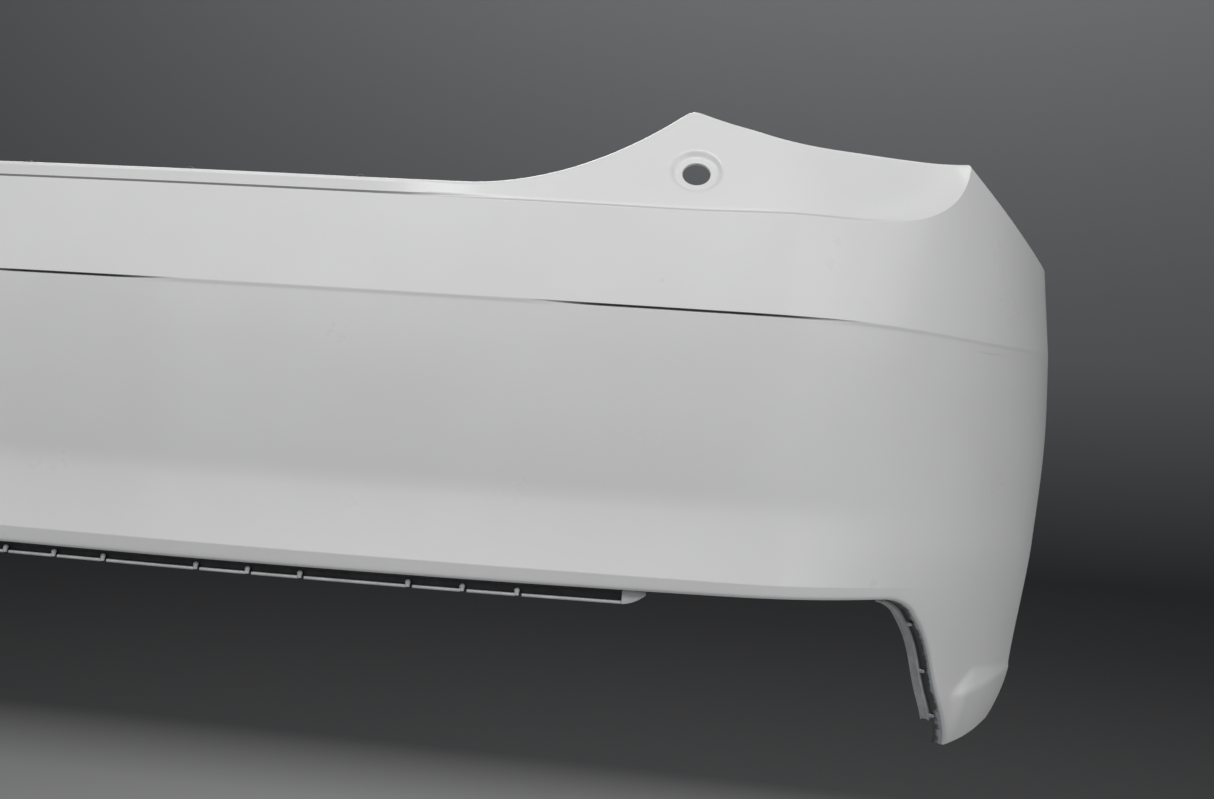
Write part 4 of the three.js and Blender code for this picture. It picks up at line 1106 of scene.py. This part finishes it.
def build_nuts(material):
    def on_arch(h):
        s = float(forward_edge(h))
        return at(s, relief(s, h), h)

    for number, h in enumerate(ARCH_NUTS_H, 1):
        ahead, behind = on_arch(h + ARCH_NUT_STEP), on_arch(h - ARCH_NUT_STEP)
        part = nut_at(on_arch(h), ahead, behind, float(forward_edge(h)))
        cad_node = f"arch_clip_nut_{number}"
        finish_pair(f"arch_nut_{number}", part, material, "spring_steel", cad_node, bevel=0.15)

    def on_foot(u):
        s, h = leg_bottom(np.array(u))
        return at(s, relief(s, h), h)

    ahead, behind = on_foot(LEG_NUT_U + LEG_NUT_STEP), on_foot(LEG_NUT_U - LEG_NUT_STEP)
    part = nut_at(on_foot(LEG_NUT_U), ahead, behind, float(leg_bottom(np.array(LEG_NUT_U))[0]))
    finish_pair("leg_nut", part, material, "spring_steel", "leg_clip_nut", bevel=0.15)


# ------------------------------------------------------------------ stage, lights and camera
FLOOR_DROP, SWEEP_NEAR, SWEEP_FAR, SWEEP_RISE, SWEEP_RADIUS, SWEEP_HALF = 1.9, -9.0, 6.5, 6.5, 1.2, 11.0
SHADE_HEIGHT = 5.0            # the height over which the sweep's shade goes through these stops
# Stops 0.1 to 0.5 lay a dark band of painted shadow on the backdrop below the bumper; above it the backdrop
# is plain grey.
SWEEP_TONE_AND_PAINTED_SHADOW_STOPS = [
    (0.0, (0.55, 0.55, 0.55)), (0.05, (0.42, 0.42, 0.42)), (0.1, (0.08, 0.081, 0.083)),
    (0.3, (0.02, 0.021, 0.023)), (0.5, (0.12, 0.123, 0.127)), (1.0, (0.2, 0.203, 0.208)),
]
# Place, target, size and power of each area light.
LIGHTS = {
    "key": ((0.1, -2.0, 2.3), (0.25, 0.0, -0.15), (3.8, 1.4), 64),
    "side": ((2.9, -1.1, 0.9), (0.75, 0.1, -0.2), (2.8, 2.2), 23),
    "front": ((-0.2, -3.3, 0.5), (0.1, 0.0, -0.15), (2.6, 1.6), 11),
    "wall_wash": ((0.3, 3.2, 4.2), (0.0, 6.5, 0.2), (6.0, 1.2), 150),
    "back": ((-1.4, 3.6, 2.3), (0.0, 0.2, -0.2), (2.6, 1.4), 45),
}
WORLD_COLOUR, WORLD_STRENGTH = (0.55, 0.56, 0.58, 1), 0.25
CAMERA_PLACE, CAMERA_TURN, CAMERA_ROLL = (752.8, -1324.8, 272.2), math.radians(11.5), math.radians(3.824)
CAMERA_SENSOR, CAMERA_LENS = 36, 50


def build_stage():
    """A pale floor that sweeps up into a grey backdrop, darkened by painted shadow below the bumper."""
    lowest = cad_box[0][2] - FLOOR_DROP
    profile = [(SWEEP_NEAR, 0.0)]
    for angle in np.linspace(0, math.pi / 2, 24):
        profile.append((SWEEP_FAR - SWEEP_RADIUS + SWEEP_RADIUS * math.sin(angle),
                        SWEEP_RADIUS - SWEEP_RADIUS * math.cos(angle)))
    profile.append((SWEEP_FAR, SWEEP_RISE))
    points, faces = [], []
    for x in (-SWEEP_HALF, SWEEP_HALF):
        points += [(x, y, lowest + z) for y, z in profile]
    count = len(profile)
    for i in range(count - 1):
        faces.append((i, i + count, i + count + 1, i + 1))
    mesh = bpy.data.meshes.new("studio_sweep")
    mesh.from_pydata(points, [], faces)
    mesh.polygons.foreach_set("use_smooth", np.ones(len(mesh.polygons), bool))
    sweep = bpy.data.objects.new("studio_sweep", mesh)
    bpy.context.scene.collection.objects.link(sweep)
    material, tree, shader = new_material("studio_paper", (0.5, 0.5, 0.5), 0.9)
    place = tree.nodes.new("ShaderNodeTexCoord")
    split = tree.nodes.new("ShaderNodeSeparateXYZ")
    tree.links.new(place.outputs["Object"], split.inputs[0])
    height = map_range(tree, split.outputs["Z"], lowest, lowest + SHADE_HEIGHT)
    shade = ramp(tree, height, SWEEP_TONE_AND_PAINTED_SHADOW_STOPS)
    tree.links.new(shade, shader.inputs["Base Color"])
    mesh.materials.append(material)


def build_lights():
    for name, (place, target, size, power) in LIGHTS.items():
        data = bpy.data.lights.new(name, "AREA")
        data.shape = "RECTANGLE"
        data.size, data.size_y = size
        data.energy = power
        made = bpy.data.objects.new(name, data)
        made.location = place
        made.rotation_euler = (Vector(target) - Vector(place)).to_track_quat("-Z", "Y").to_euler()
        bpy.context.scene.collection.objects.link(made)
    world = bpy.data.worlds.new("studio")
    world.use_nodes = True
    world.node_tree.nodes["Background"].inputs["Color"].default_value = WORLD_COLOUR
    world.node_tree.nodes["Background"].inputs["Strength"].default_value = WORLD_STRENGTH
    bpy.context.scene.world = world


def build_camera():
    """The photograph's view: turned a little to the left, level, and rolled slightly."""
    ahead = Vector((-math.sin(CAMERA_TURN), math.cos(CAMERA_TURN), 0))
    across = ahead.cross(Vector((0, 0, 1)))
    up = across.cross(ahead)
    right = across * math.cos(CAMERA_ROLL) + up * math.sin(CAMERA_ROLL)
    top = up * math.cos(CAMERA_ROLL) - across * math.sin(CAMERA_ROLL)
    place = (np.array(CAMERA_PLACE) - ORIGIN) * MM
    data = bpy.data.cameras.new("camera")
    data.sensor_width = CAMERA_SENSOR
    data.lens = CAMERA_LENS
    made = bpy.data.objects.new("camera", data)
    turn_matrix = Matrix((right, top, -ahead)).transposed().to_4x4()
    made.matrix_world = Matrix.Translation(place) @ turn_matrix
    bpy.context.scene.collection.objects.link(made)
    bpy.context.scene.camera = made


# ------------------------------------------------------------------ assembly
paint = paint_material()
raw = raw_material()
rail_plastic = plastic_material("rail_plastic", (0.40, 0.41, 0.42), (0.54, 0.55, 0.56), 0.42)
# The rail's own plastic darkened as painted shade, for its web in the shadow under the skin's bottom edge.
rail_web_painted_shade = plastic_material("rail_web_painted_shade", (0.018, 0.018, 0.02), (0.04, 0.041, 0.045), 0.5)
black_plastic = plastic_material("black_plastic", (0.02, 0.02, 0.021), (0.045, 0.045, 0.047), 0.5)
foam = plastic_material("foam", (0.03, 0.03, 0.032), (0.075, 0.075, 0.08), 0.85, 420.0, 0.8)
steel = steel_material()

build_skin(paint, raw)
build_lower_rail(rail_plastic, rail_web_painted_shade)
build_rail_end(rail_plastic)
build_leg_rail(rail_plastic)
build_retainer(black_plastic)
build_rivets(black_plastic)
build_side_guide(black_plastic)
build_lamp_guide(black_plastic)
build_foam(foam)
build_nuts(steel)
build_stage()
build_lights()
build_camera()
bpy.context.scene.view_settings.view_transform = "Standard"
